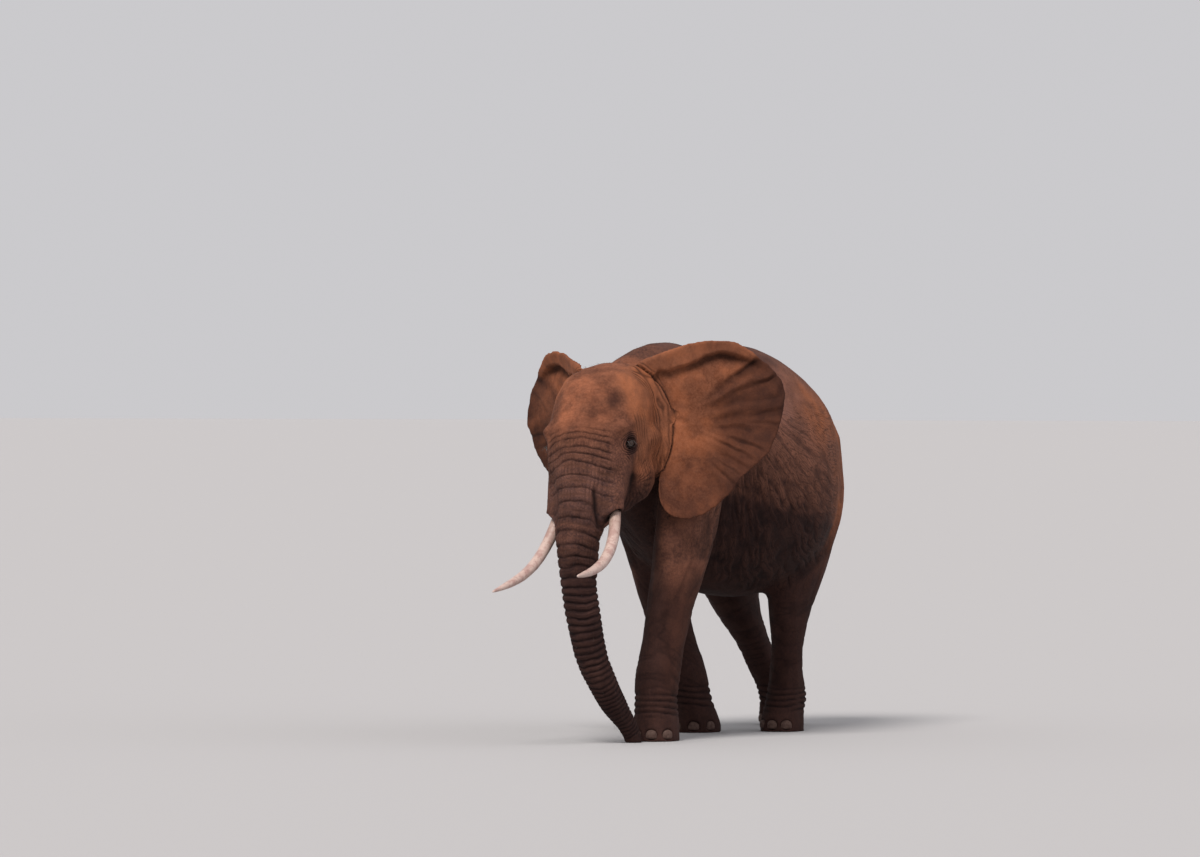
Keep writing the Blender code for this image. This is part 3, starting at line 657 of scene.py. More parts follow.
def ear_folds(hide, word):
    """Ribs that fan out to the rear rim, its turned-over top, and its wavy edge."""
    plane = EarPlane(hide, word)
    ear, fan, reach, inside = plane.on, plane.fan, plane.reach, plane.inside
    rear = within(fan, -0.80, 0.50, 0.25) * ramp(reach, 0.14, 0.40)
    lobe = within(fan, -2.1, -0.80, 0.3) * ramp(reach, 0.16, 0.45)
    polar = np.column_stack([fan, reach, np.full(len(fan), 0.5 * SIDES[word])])
    bent = polar + 0.05 * np.column_stack([hide.loose, hide.fine, hide.fine * 0])
    broad = 1 - 2.6 * np.abs(wander(bent * (5.4, 1.3, 1), 1.0, 71))
    narrow = 1 - 2.6 * np.abs(wander(bent * (11.0, 2.2, 1), 1.0, 72))
    much = RIB_SHARE[word]
    height = much * rear * (0.010 * broad + 0.006 * narrow) + 0.009 * lobe * broad
    phase = fan / 0.135 + wander(bent * (3.3, 3.0, 1), 1.0, 74)
    phase += 0.35 * wander(bent * (9, 7, 1), 1.0, 76)
    outer = rear * ramp(inside, 0.36, 0.16) * ramp(inside, -0.01, 0.05)
    some = np.clip(0.45 + 0.9 * wander(bent * (6, 2.6, 1), 1.0, 75), 0, 1)
    furrow = valleys(phase, 0.15) * outer * some
    shoulder = valleys(phase - 0.24, 0.17) * outer * some
    height += much * (0.012 * shoulder - 0.012 * furrow)
    flap = np.interp(fan, EAR_TURNS, FLAP_WIDTHS) + 0.012 * hide.loose
    curl = ramp(fan, 0.40, 0.78) * ramp(fan, 2.70, 2.10)
    height += 0.030 * curl * ramp(inside, flap + 0.012, flap - 0.012)
    height += 0.014 * within(fan, 0.60, 1.1, 0.25) * ramp(inside, flap, 0.0)
    gutter = np.exp(-((np.clip(inside - flap - 0.02, 0, None) / 0.045) ** 2))
    gutter *= ramp(inside, flap - 0.006, flap + 0.012)
    gutter *= curl * np.interp(fan, EAR_TURNS, GUTTER_DEPTHS)
    height -= 0.016 * gutter
    wave = 0.008 * wander(polar * (6, 0, 1), 1.0, 73)
    height += wave * ramp(inside, 0.10, 0.0)
    height += 0.004 * hide.loose + 0.0015 * hide.fine
    hide.push += (ear * height)[:, None] * plane.thin
    hide.soften = np.maximum(hide.soften, ear * ramp(inside, 0.045, 0.02))
    front = ear * ramp(hide.normals @ plane.thin, -0.2, 0.3)
    # Painted shade in the furrows between the ribs and in the gutter beneath the turned-over top,
    # where the top casts its shadow; dust and painted highlight on the ribs and on the
    # turned-over top.
    low = 0.6 * rear * np.clip(-broad, 0, 1) + 0.35 * rear * np.clip(-narrow, 0, 1)
    low += 0.9 * furrow
    low += 0.6 * lobe * np.clip(-broad, 0, 1)
    fold_shade = front * np.clip(np.maximum(0.9 * low, 0.85 * gutter), 0, 1)
    hide.crease = np.maximum(hide.crease, fold_shade)
    hide.add_dust_and_highlight(front * 0.7 * np.clip(shoulder, 0, 1))
    hide.add_dust_and_highlight(front * 0.5 * np.clip(rear * broad, 0, 1))
    hide.add_dust_and_highlight(front * 0.7 * curl * ramp(inside, flap + 0.01, flap - 0.02))
    hide.lined(ear, 0.22 + 0.25 * rear, fan / 0.026, reach / 0.020)
    hide.ears = np.maximum(hide.ears, ear)
    low_or_rear = np.maximum(rear, ramp(plane.up, 0.0, -0.35))
    hide.ear_low = np.maximum(hide.ear_low, ear * low_or_rear)


def ear_root_folds(hide, word):
    """Loose skin in deep folds along the root of the ear."""
    s, off = near_line(hide.points, ear_root(word))
    gap = np.linalg.norm(off, axis=1)
    head = hide.on("head", "neck", rounds=6)
    ear = hide.on(f"ear_{word}", rounds=6)
    seam = ramp(np.minimum(head, ear), 0.12, 0.40) * ramp(gap, 0.20, 0.12)
    # Painted shade in the seam and the folds along the ear's root.
    hide.cut(seam * 0.010, seam)
    loose = gap + 0.012 * hide.loose + 0.005 * hide.fine
    ends = ramp(s, 0.0, 0.06)
    folds = valleys(loose / 0.026 + 0.3, 0.22) * within(gap, 0.03, 0.09, 0.07) * ends
    folds *= 0.75 + 0.25 * hide.fine
    hide.cut(head * folds * 0.006, head * folds)
    upper = within(s, 0.05, 0.25, 0.08) * within(gap, 0.02, 0.08, 0.05)
    folds = valleys(loose / 0.022, 0.24) * upper
    hide.cut(ear * folds * 0.003, 0.8 * ear * folds)


def face_folds(hide):
    """Fine creases on the temples and cheeks, and faint ones over the forehead."""
    out, back, up = hide.face.T
    out = np.abs(out)
    head = hide.on("head", "lower_jaw", rounds=8)
    temple = head * ramp(out, 0.12, 0.20) * within(back, 0.07, 0.45, 0.05)
    temple *= within(up, -0.45, 0.14, 0.10)
    phase = (back + 0.15 * up + 0.014 * hide.loose + 0.006 * hide.fine) / 0.028
    phase += 0.5 * wander(hide.points, 0.10, 54)
    lines = valleys(phase, 0.20) * (0.5 + 0.5 * wander(hide.points, 0.06, 51))
    # Each crease cut on the face is painted with shade as well.
    hide.cut(temple * lines * 0.0035, temple * lines)
    fan = np.arctan2(up + 0.24, back - 0.02) + 0.20 * hide.loose + 0.09 * hide.fine
    reach = np.hypot(up + 0.24, back - 0.02)
    spray = valleys(fan / 0.19, 0.18) * within(reach, 0.07, 0.17, 0.05)
    spray *= head * ramp(out, 0.12, 0.20) * ramp(up, 0.0, -0.10) * ramp(back, 0.0, 0.05)
    spray *= 0.6 + 0.4 * wander(hide.points, 0.05, 55)
    hide.cut(spray * 0.005, spray)
    # A deep hollow below the eye, sunk and painted with deep shadow.
    middle_back = 0.035 + 0.012 * hide.loose - 0.10 * (up + 0.235)
    hollow = np.exp(-(((back - middle_back) / 0.034) ** 2 + ((up + 0.235) / 0.115) ** 2))
    hollow *= head * ramp(out, 0.10, 0.18)
    hide.cut(0.028 * hollow, np.clip((1.0 + 0.35 * hide.fine) * hollow, 0, 1))
    cheek = head * ramp(out, 0.10, 0.18) * within(up, -0.45, 0.20, 0.1) * ramp(back, 0.0, 0.06)
    hide.lined(cheek, 0.75 * cheek, (back + 0.2 * up) / 0.009, up / 0.026)
    under = valleys((up + 0.9 * back + 0.10 + 0.006 * hide.fine) / 0.024, 0.2)
    under *= np.exp(-(((back + 0.04) / 0.035) ** 2 + ((up + 0.085) / 0.035) ** 2))
    under *= head * ramp(out, 0.12, 0.20)
    hide.cut(under * 0.006, under)
    brow = head * ramp(back, 0.12, 0.02) * within(up, 0.03, 0.42, 0.08)
    at = hide.points * (0.45, 0.45, 1.0) + 0.012 * hide.loose[:, None]
    faint = brow * net(at, 0.020, 0.2, 53, brow)
    hide.cut(faint * 0.0010, 0.28 * faint)
    hide.head = head


LID_SLOPE = 0.22


def gaze_of(word):
    """Where this eye looks: out to its side and a little ahead."""
    return (SIDES[word] * FACE_SIDE + 0.45 * FACE_AHEAD).normalized()


def lid_axes(word):
    """Along the lids towards the ear, and up across them."""
    gaze = gaze_of(word)
    aft = UPWARDS.cross(gaze).normalized()
    if aft.dot(FACE_AHEAD) > 0:
        aft = -aft
    top = gaze.cross(aft)
    if top.z < 0:
        top = -top
    return np.array(aft), np.array(top)


def eyelids(hide, word):
    """Lids that close round the eyeball, with folds about them."""
    gaze = gaze_of(word)
    aft, top = lid_axes(word)
    rel = hide.points - np.array(EYE[word])
    u = rel @ aft
    v = rel @ top
    w = rel @ np.array(gaze)
    near = np.linalg.norm(rel, axis=1) < 0.16
    slope = LID_SLOPE * u
    half_u, half_v = LID_OPENING
    upper = np.where(v - slope > 0, 1.0, 1.15)
    q = np.sqrt((u / half_u) ** 2 + ((v - slope) / half_v) ** 2 * upper)
    round_eye = np.hypot(u, v)
    under = np.sqrt(np.clip(EYE_RADIUS**2 - round_eye**2, 0, None)) - 0.006
    lid = np.sqrt(np.clip((EYE_RADIUS + LID_THICKNESS) ** 2 - round_eye**2, 0, None))
    lid_shape = ramp(round_eye, 0.048, 0.026)
    over = w * (1 - lid_shape) + lid * lid_shape
    edge = ramp(q, 0.98, 1.12)
    wanted = under * (1 - edge) + over * edge
    ring = valleys((q - 1.62) / 0.60, 0.19) * within(q, 1.5, 3.5, 0.3)
    ring *= 0.8 + 0.2 * hide.fine
    wanted = wanted - 0.0055 * ring + 0.003 * within(q, 1.75, 2.1, 0.15)
    inside = near & (np.linalg.norm(rel, axis=1) < 0.12) & (w > -0.03)
    hold = inside * ramp(round_eye, 0.11, 0.06)
    hide.push += ((wanted - w) * hold)[:, None] * np.array(gaze)
    rim = np.exp(-(((q - 1.08) / 0.12) ** 2))
    # Painted shade in the folds round the eye and along the lids' rims.
    hide.crease = np.maximum(hide.crease, inside * np.maximum(ring, rim))
    hide.eye_gap = np.minimum(hide.eye_gap, np.linalg.norm(rel, axis=1))


def nail_beds(hide):
    """Sinks the skin beneath each toenail and lifts a soft cuticle round it."""
    for node in NAILS:
        rel = hide.points - np.array(middle(node))
        close = np.abs(rel).max(axis=1) < 0.09
        gap = np.linalg.norm(rel[close] / (0.044, 0.044, 0.040), axis=1)
        sink = ramp(gap, 1.0, 0.75)
        lift = np.exp(-(((gap - 1.12) / 0.14) ** 2))
        height = 0.004 * lift - 0.010 * sink
        hide.push[close] += hide.normals[close] * height[:, None]
        # Painted shade in the sunk bed beneath each nail.
        hide.crease[close] = np.maximum(hide.crease[close], sink)


class Regions:
    """Parts of the body that the markings go by, each from 0 to 1."""

    def __init__(self, hide):
        back, up = hide.face[:, 1], hide.face[:, 2]
        out = np.abs(hide.face[:, 0])
        x, y, z = hide.points.T
        self.mid = wander(hide.points, 0.12, 62)
        self.small = wander(hide.points, 0.04, 63)
        self.mottle = 0.45 * wander(hide.points, 0.30, 61) + 0.35 * self.mid
        self.mottle += 0.25 * self.small
        self.eye = ramp(hide.eye_gap, 0.10, 0.04)
        self.temple = hide.head * ramp(out, 0.10, 0.22) * ramp(up, -0.40, -0.05)
        self.temple *= ramp(back, -0.02, 0.10)
        hip = np.exp(-(((y - 1.02) / 0.20) ** 2 + ((z - 2.03) / 0.20) ** 2))
        rump = hide.torso * ramp(y, 0.95, 1.25) * within(z, 1.2, 2.1, 0.2) * 0.8
        self.hip = np.maximum(hide.torso * hip, rump)
        self.patch = np.exp(-(((y - 0.66) / 0.16) ** 2 + ((z - 2.10) / 0.20) ** 2))
        self.chest = hide.on("torso", "neck", rounds=10)


def rust(hide, at):
    """Dust caught on the ears, temples, hips, haunches and arms."""
    up = hide.face[:, 2]
    x, y, z = hide.points.T
    head, torso, legs = hide.head, hide.torso, hide.legs
    streak = wander(hide.points * (1, 1, 0.22), 0.05, 64)
    rear = legs * ramp(z, 0.5, 1.1) * ramp(np.abs(x), 0.25, 0.40) * ramp(y, 0.8, 1.2)
    arm = legs * ramp(y, 0.4, 0.1) * ramp(np.abs(x), 0.30, 0.42) * ramp(z, 0.1, 0.4)
    haunch = torso * ramp(y, 1.35, 1.75) * ramp(z, 1.0, 1.3)
    much = 0.75 * hide.ears + at.temple
    much += 0.35 * head * (1 - at.temple) * ramp(up, -0.1, 0.15)
    much += 1.1 * at.hip * (0.75 + 0.6 * at.mid) + 0.5 * haunch * (0.8 + streak)
    much += 0.55 * rear * (0.7 + streak) + 0.35 * arm
    much *= 1 + 0.35 * at.mottle
    clean = (1 - 0.9 * at.eye) * (1 - 0.9 * hide.trunk * ramp(hide.along_trunk, 0.05, 0.3))
    return much * clean


def rose(hide, at):
    """A rosy forehead."""
    up = hide.face[:, 2]
    out = np.abs(hide.face[:, 0])
    return hide.head * ramp(up, 0.0, 0.2) * ramp(out, 0.26, 0.10) * (0.8 + 0.8 * at.mottle)


def ash(hide, at):
    """Grey on the back, the trunk, the legs and below the eyes."""
    top = hide.torso * ramp(hide.points[:, 2], 2.15, 2.4)
    much = hide.torso * at.patch * (0.9 + 0.5 * at.small) + top * (0.8 + 0.6 * at.small)
    much += 0.85 * hide.trunk * ramp(hide.along_trunk, 0.10, 0.5) + 0.7 * hide.legs
    return much + 0.3 * hide.head * ramp(hide.face[:, 2], -0.05, -0.3)


# Across from between the eyes, up, and how wide.
FOREHEAD_BLOTS = ((0.02, 0.40, 0.035), (0.06, 0.19, 0.04), (0.20, 0.28, 0.05))


def dark_head(hide, at):
    """Darker round the eyes, on the trunk, on the ears' lower and rear parts and the brow,
    towards the bottom of the head, and in a few blots; painted shade on the cheeks and about the
    eyes; the temples painted lighter, as if sunlit.
    """
    back, up = hide.face[:, 1], hide.face[:, 2]
    out = np.abs(hide.face[:, 0])
    much = 0.75 * at.eye + 0.30 * hide.trunk * ramp(hide.along_trunk, 0.3, 0.7)
    much += 0.60 * hide.trunk * ramp(hide.along_trunk, 0.6, 1.0)
    much += 0.20 * hide.trunk * ramp(hide.along_trunk, 1.4, 2.1)
    # Painted shade on the cheeks below the eyes.
    much += 0.45 * hide.head * ramp(up, -0.10, -0.30) * ramp(back, 0.0, 0.05)
    much += 0.62 * hide.ears * hide.ear_low
    for side, height, width in FOREHEAD_BLOTS:
        gap = ((hide.face[:, 0] - side) / width) ** 2 + ((up - height) / (1.7 * width)) ** 2
        much += 0.28 * hide.head * np.exp(-gap) * ramp(back, 0.3, 0.1) * (1 + at.mid)
    much += 0.25 * hide.head * (1 - at.temple) * ramp(up, -0.02, -0.2)
    shade = np.exp(-((back / 0.045) ** 2 + ((up + 0.03) / 0.10) ** 2))
    much += 0.55 * hide.head * shade * ramp(out, 0.14, 0.20)
    much += 0.25 * hide.ears * hide.ear_low * ramp(hide.points[:, 0], 0.55, 0.80)
    brow = hide.head * ramp(up, 0.0, 0.10) * ramp(out, 0.26, 0.18)
    much += brow * (0.12 + 0.45 * wander(hide.points, 0.09, 66))
    # The temples are painted lighter, as if sunlit.
    return much - 0.25 * at.temple * (1 - at.eye)


def dark_body(hide, at):
    """Painted shade under the belly, which is partly mud as well, on the chest beneath the head,
    low on the flank behind the foreleg and on the legs' inner sides; and darker towards the
    bottom of the flank, on the lower and hind legs, along the top of the back and high on the
    neck.
    """
    x, y, z = hide.points.T
    torso, legs = hide.torso, hide.legs
    # Painted shade on the surfaces that face down, along the belly, which is partly mud as well.
    much = torso * ramp(-hide.normals[:, 2], 0.0, 0.6)
    much += 0.50 * torso * ramp(z, 2.0, 1.2) * (1 - at.hip) * ramp(y, -0.45, -0.05)
    # Painted shadow of the ear, low on the flank behind the foreleg.
    much += 0.4 * torso * ramp(z, 1.35, 1.0) * ramp(y, -0.30, 0.0)
    much += 0.5 * torso * ramp(z, 1.6, 1.2) * within(y, 0.0, 0.35, 0.2)
    much += 0.60 * torso * ramp(z, 2.22, 2.38) * (1 - at.hip)
    # Painted shade on the legs' inner sides.
    much += 0.45 * legs * ramp(np.abs(x), 0.30, 0.18)
    much += 0.85 * legs * ramp(z, 1.35, 0.80) + 0.25 * legs * ramp(y, 0.6, 0.9)
    # Painted shade on the chest, beneath the head.
    chest = ramp(z, 1.85, 1.60) * ramp(y, -0.30, -0.60) * ramp(np.abs(x), 0.44, 0.26)
    much += at.chest * chest
    return much + 0.40 * np.clip(at.chest - torso, 0, 1) * ramp(z, 2.1, 2.35)


def markings(hide):
    """Where the hide is rusty with dust, rosy, ashen or dark, where painted shade darkens it, and
    where dust and painted highlight lighten it.
    """
    at = Regions(hide)
    # dark holds the hide's darker tone together with painted shade.
    dark = dark_head(hide, at) + dark_body(hide, at)
    dark += at.mottle * (0.30 - 0.18 * hide.legs)
    # Painted light: the temples and the hips are painted lighter, as if sunlit, and a patch on
    # the back is lighter too.
    hide.add_dust_and_highlight(at.temple * (1 - 0.8 * at.eye) * ramp(hide.face[:, 2], -0.25, -0.05))
    hide.add_dust_and_highlight(0.9 * np.clip(at.hip, 0, 1) * (0.6 + 0.6 * at.mid))
    hide.add_dust_and_highlight(0.9 * hide.torso * at.patch * (0.7 + 0.4 * at.mid))
    hide.rust = np.clip(rust(hide, at), 0, 1)
    hide.rose = np.clip(rose(hide, at), 0, 1)
    hide.ash = np.clip(ash(hide, at), 0, 1)
    hide.dark = np.clip(dark, 0, 1)


def sculpt(hide):
    """Everything that is pushed into or out of the skin, and its markings."""
    trunk_rings(hide)
    flank_folds(hide)
    leg_folds(hide)
    face_folds(hide)
    for word in SIDES:
        ear_folds(hide, word)
        ear_root_folds(hide, word)
        eyelids(hide, word)
        tusk_lips(hide, word)
    nail_beds(hide)
    markings(hide)


# Where the neck's corner would come through an ear's root: across, height, and the
# line that the ear's own front follows there, as a slope and a start.
CORNERS = {
    "left": ((0.385, 0.450), (1.985, 2.085), 1, -0.895),
    "right": ((-0.340, -0.285), (1.935, 2.015), -1, -0.862),
}


def tucked(points, word):
    """Presses the neck's corner back in at the root of this ear."""
    across, height, slope, start = CORNERS[word]
    x, y, z = points.T
    ear = slope * x + start
    much = within(x, *across, 0.010) * within(z, *height, 0.015)
    much *= within(y, -0.66, ear - 0.008, 0.006)
    return points + np.outer(much * (ear + 0.003 - y), (0, 1, 0))


def shell_from(start):
    """All the points that hang together with this one."""
    shell = {start}
    queue = [start]
    while queue:
        for edge in queue.pop().link_edges:
            fresh = set(edge.verts) - shell
            shell |= fresh
            queue.extend(fresh)
    return shell


def biggest_shell(mesh):
    """Drops any stray shell that melting left inside."""
    with edited(mesh) as bm:
        left = set(bm.verts)
        shells = []
        while left:
            shells.append(shell_from(next(iter(left))))
            left -= shells[-1]
        shells.sort(key=len)
        for stray in shells[:-1]:
            bmesh.ops.delete(bm, geom=list(stray), context="VERTS")


def finished(name, mesh, slot, *nodes):
    """A piece of the animal that takes the place of these nodes."""
    kept_inside(mesh)
    made = new_object(name, mesh)
    mesh.shade_smooth()
    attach(made, "root")
    if nodes:
        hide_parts(*nodes)
    return made


def set_numbers(mesh, name, values):
    """Gives each point of the mesh a number, under this name."""
    layer = mesh.attributes.new(name, "FLOAT", "POINT")
    layer.data.foreach_set("value", values.astype(np.float32))


def smoothed(mesh):
    """Irons out the solids' facets, most of all on the body and round the ears' roots."""
    edges = edges_of(mesh)
    points = relaxed(points_of(mesh), edges, 80)
    body = ramp(points[:, 1], 0.05, 0.30)
    points = ironed(points, edges, body, 0.04, 50, 0.53)
    for word in SIDES:
        root = ramp(root_gap(points, word), 0.13, 0.05)
        points = ironed(points, edges, root, 0.03, 14, 0.0)
    gap = np.minimum(*[root_gap(points, word) for word in SIDES])
    root = ramp(gap, 0.22, 0.12)
    points = points + root[:, None] * (relaxed(points, edges, 40) - points)
    move_points(mesh, points)


def refined(mesh):
    """Gives the head and trunk a finer mesh, and the eyes' surrounds the finest."""
    points = points_of(mesh)
    out, back, up = in_face_axes(points).T
    head = (np.abs(out) < 0.34) & (back < 0.42) & (up > -0.75)
    low_trunk = (points[:, 1] < -0.69) & (points[:, 2] < 1.3)
    refine(mesh, head | low_trunk)
    for word, reach in product(SIDES, (0.085, 0.055)):
        refine(mesh, np.linalg.norm(points_of(mesh) - np.array(EYE[word]), axis=1) < reach)


def skin():
    """One skin over all the flesh."""
    filling = [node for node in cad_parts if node.startswith(("eye_", "toenail"))]
    made = melted("skin", FLESH + filling, SKIN_VOXEL)
    mesh = made.data
    biggest_shell(mesh)
    smoothed(mesh)
    refined(mesh)
    hide = Hide(mesh)
    sculpt(hide)
    points = hide.points + hide.push
    for word in SIDES:
        points = tucked(points, word)
    softer = relaxed(points, hide.edges, 14, 0.35) - points
    move_points(mesh, points + hide.soften[:, None] * softer)
    kept_inside(mesh)
    for name in MARKS:
        set_numbers(mesh, name, getattr(hide, name))
    thinned(made, SKIN_TRIANGLES)
    for polygon in made.data.polygons:
        polygon.use_smooth = True
    made.data.materials.append(hide_material())
    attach(made, "root")
    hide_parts(*FLESH)
    return made


# ---------------------------------------------------------------- materials
class Tree:
    """Short words for placing and joining the nodes of one material or group."""

    def __init__(self, nodes):
        self.tree = nodes

    def add(self, kind, settings=None, **inputs):
        node = self.tree.nodes.new(kind)
        for key, value in (settings or {}).items():
            setattr(node, key, value)
        for key, value in inputs.items():
            self.set(node, key.replace("_", " "), value)
        return node

    def set(self, node, key, value):
        socket = node.inputs[key]
        if isinstance(value, bpy.types.NodeSocket):
            self.tree.links.new(value, socket)
        else:
            socket.default_value = value

    def maths(self, operation, first, second):
        node = self.add("ShaderNodeMath", {"operation": operation})
        self.set(node, 0, first)
        self.set(node, 1, second)
        return node.outputs[0]

    def times(self, first, second):
        return self.maths("MULTIPLY", first, second)

    def higher(self, first, second):
        return self.maths("MAXIMUM", first, second)

    def mixed(self, factor, first, second):
        node = self.add("ShaderNodeMix", {"data_type": "RGBA"})
        self.set(node, 0, factor)
        self.set(node, 6, first)
        self.set(node, 7, second)
        return node.outputs[2]

    def spread(self, value, low, high, to_low=0.0, to_high=1.0):
        node = self.add("ShaderNodeMapRange", {"interpolation_type": "SMOOTHSTEP"})
        for key, number in zip(range(5), (value, low, high, to_low, to_high)):
            self.set(node, key, number)
        return node.outputs[0]

    def mark(self, name):
        return self.add("ShaderNodeAttribute", {"attribute_name": name}).outputs["Fac"]

    def place(self):
        return self.add("ShaderNodeTexCoord").outputs["Object"]

    def bent(self, where, scale, detail, much):
        """The place, pushed about by noise, so that a pattern on it isn't straight."""
        noise = self.add("ShaderNodeTexNoise", Vector=where, Scale=scale, Detail=detail)
        push = self.add("ShaderNodeVectorMath", {"operation": "SCALE"}, Scale=much)
        self.set(push, 0, noise.outputs["Color"])
        moved = self.add("ShaderNodeVectorMath", {"operation": "ADD"})
        self.set(moved, 0, where)
        self.set(moved, 1, push.outputs[0])
        return moved.outputs[0]

    def shared(self, effect, **inputs):
        """Places one of the groups that the materials share."""
        node = self.add("ShaderNodeGroup", {"node_tree": effect}, **inputs)
        return node.outputs[0]

    def bumped(self, shader, height, strength, distance, invert=False):
        bump = self.add("ShaderNodeBump", {"invert": invert}, Height=height)
        self.set(bump, "Strength", strength)
        self.set(bump, "Distance", distance)
        self.set(shader, "Normal", bump.outputs[0])


def group(name, wanted, given):
    """An empty node group with number sockets, and its two ends."""
    made = bpy.data.node_groups.new(name, "ShaderNodeTree")
    for key, value in wanted.items():
        socket = made.interface.new_socket(key, in_out="INPUT", socket_type="NodeSocketFloat")
        socket.default_value = value
    for key in given:
        made.interface.new_socket(key, in_out="OUTPUT", socket_type="NodeSocketFloat")
    tree = Tree(made)
    return made, tree, tree.add("NodeGroupInput"), tree.add("NodeGroupOutput")


@cache
def crack_group():
    """A net of fine cracks in hide: 1 in a crack. Cell is in metres."""
    made, tree, given, result = group("skin cracks", {"Cell": 0.012, "Width": 0.1}, ["Cracks"])
    where = tree.bent(tree.place(), 28.0, 3.0, 0.012)
    cells = tree.add("ShaderNodeTexVoronoi", {"feature": "DISTANCE_TO_EDGE"}, Vector=where)
    tree.set(cells, "Scale", tree.maths("DIVIDE", 1.0, given.outputs["Cell"]))
    cracks = tree.spread(cells.outputs["Distance"], 0.0, given.outputs["Width"], 1.0, 0.0)
    tree.set(result, "Cracks", cracks)
    return made


@cache
def patch_group():
    """Cloudy patches, as of dust or damp: 0 to 1."""
    wanted = {"Size": 0.1, "Start": 0.45, "End": 0.6}
    made, tree, given, result = group("dust patches", wanted, ["Patches"])
    noise = tree.add("ShaderNodeTexNoise", Vector=tree.place(), Detail=6.0, Roughness=0.62)
    tree.set(noise, "Scale", tree.maths("DIVIDE", 1.0, given.outputs["Size"]))
    start = given.outputs["Start"]
    end = given.outputs["End"]
    tree.set(result, "Patches", tree.spread(noise.outputs["Fac"], start, end))
    return made


@cache
def crease_group():
    """A net of creases in long cells: 1 in a crease. Across and Along count cells."""
    made, tree, given, result = group("long creases", {"Across": 0, "Along": 0}, ["Creases"])
    where = tree.add("ShaderNodeCombineXYZ")
    tree.set(where, 0, given.outputs["Across"])
    tree.set(where, 1, given.outputs["Along"])
    settings = {"feature": "DISTANCE_TO_EDGE", "voronoi_dimensions": "2D"}
    cells = tree.add("ShaderNodeTexVoronoi", settings, Scale=1.0)
    tree.set(cells, "Vector", tree.bent(where.outputs[0], 0.55, 2.0, 1.3))
    tree.set(result, "Creases", tree.spread(cells.outputs["Distance"], 0.0, 0.15, 1.0, 0.0))
    return made


def material(name, roughness):
    """A new material, with its tree and its shader."""
    made = bpy.data.materials.new(name)
    made.use_nodes = True
    tree = Tree(made.node_tree)
    shader = made.node_tree.nodes["Principled BSDF"]
    shader.inputs["Roughness"].default_value = roughness
    return made, tree, shader


EARTH = (0.118, 0.049, 0.034, 1)
RUST = (0.270, 0.082, 0.030, 1)
ROSE = (0.290, 0.104, 0.057, 1)
ASH = (0.130, 0.064, 0.054, 1)
# Dust, and painted highlight on the tops of rolls.
DUST_AND_HIGHLIGHT = (0.440, 0.180, 0.100, 1)
# The hide's darkest tone, and the colour of painted shade.
DARK_AND_SHADE = (0.014, 0.006, 0.006, 1)
# Painted shade deep in creases and cracks.
CREASE_SHADE = (0.004, 0.0015, 0.0018, 1)


def hide_material():
    """Dusty, cracked hide, coloured by the marks that the skin carries, with painted shade in its
    creases and cracks and painted highlight on the tops of its rolls.
    """
    made, tree, shader = material("elephant hide", 0.85)
    shader.inputs["Specular IOR Level"].default_value = 0.12
    cracks = crack_group()
    patches = patch_group()
    coarse = tree.shared(cracks, Cell=0.020, Width=0.10)
    fine = tree.shared(cracks, Cell=0.007, Width=0.16)
    clouds = tree.shared(patches, Size=0.15, Start=0.38, End=0.64)
    blots = tree.shared(patches, Size=0.05, Start=0.40, End=0.62)
    specks = tree.shared(patches, Size=0.014, Start=0.42, End=0.62)
    long_ones = tree.shared(crease_group(), Across=tree.mark("fold_u"), Along=tree.mark("fold_v"))
    folds = tree.times(long_ones, tree.mark("fold"))
    crease = tree.mark("crease")
    colour = tree.mixed(tree.mark("ash"), EARTH, ASH)
    colour = tree.mixed(tree.mark("rose"), colour, ROSE)
    colour = tree.mixed(tree.mark("rust"), colour, RUST)
    darker = tree.mixed(0.50, colour, DARK_AND_SHADE)
    colour = tree.mixed(clouds, darker, colour)
    # The dark mark paints darker tone and painted shade.
    colour = tree.mixed(tree.times(tree.mark("dark"), 0.88), colour, DARK_AND_SHADE)
    lighter = tree.mixed(tree.spread(tree.mark("dark"), 0.15, 0.9, 0.32, 0.06), colour, DUST_AND_HIGHLIGHT)
    colour = tree.mixed(tree.times(blots, 0.30), colour, lighter)
    colour = tree.mixed(tree.times(specks, 0.40), colour, lighter)
    # Dust and painted highlight on the tops of rolls, and on the sunlit temples and hips.
    colour = tree.mixed(tree.times(tree.mark("ridge"), 0.65), colour, lighter)
    # Painted shade in the cracks, the long folds and the creases.
    lines = tree.times(coarse, 0.14)
    lines = tree.higher(lines, tree.times(fine, 0.14))
    lines = tree.higher(lines, tree.times(folds, 0.52))
    shade_in_creases = tree.higher(lines, tree.times(crease, 0.93))
    colour = tree.mixed(shade_in_creases, colour, CREASE_SHADE)
    tree.set(shader, "Base Color", colour)
    depth = tree.higher(tree.times(coarse, 0.35), folds)
    depth = tree.higher(depth, tree.times(fine, 0.3))
    tree.bumped(shader, depth, 0.6, 0.002, invert=True)
    return made


# ---------------------------------------------------------------- eyes
def ball(name, around, down, radius):
    """A round mesh with this many faces round and from pole to pole."""
    mesh = bpy.data.meshes.new(name)
    with edited(mesh) as bm:
        bmesh.ops.create_uvsphere(bm, u_segments=around, v_segments=down, radius=radius)
    return mesh


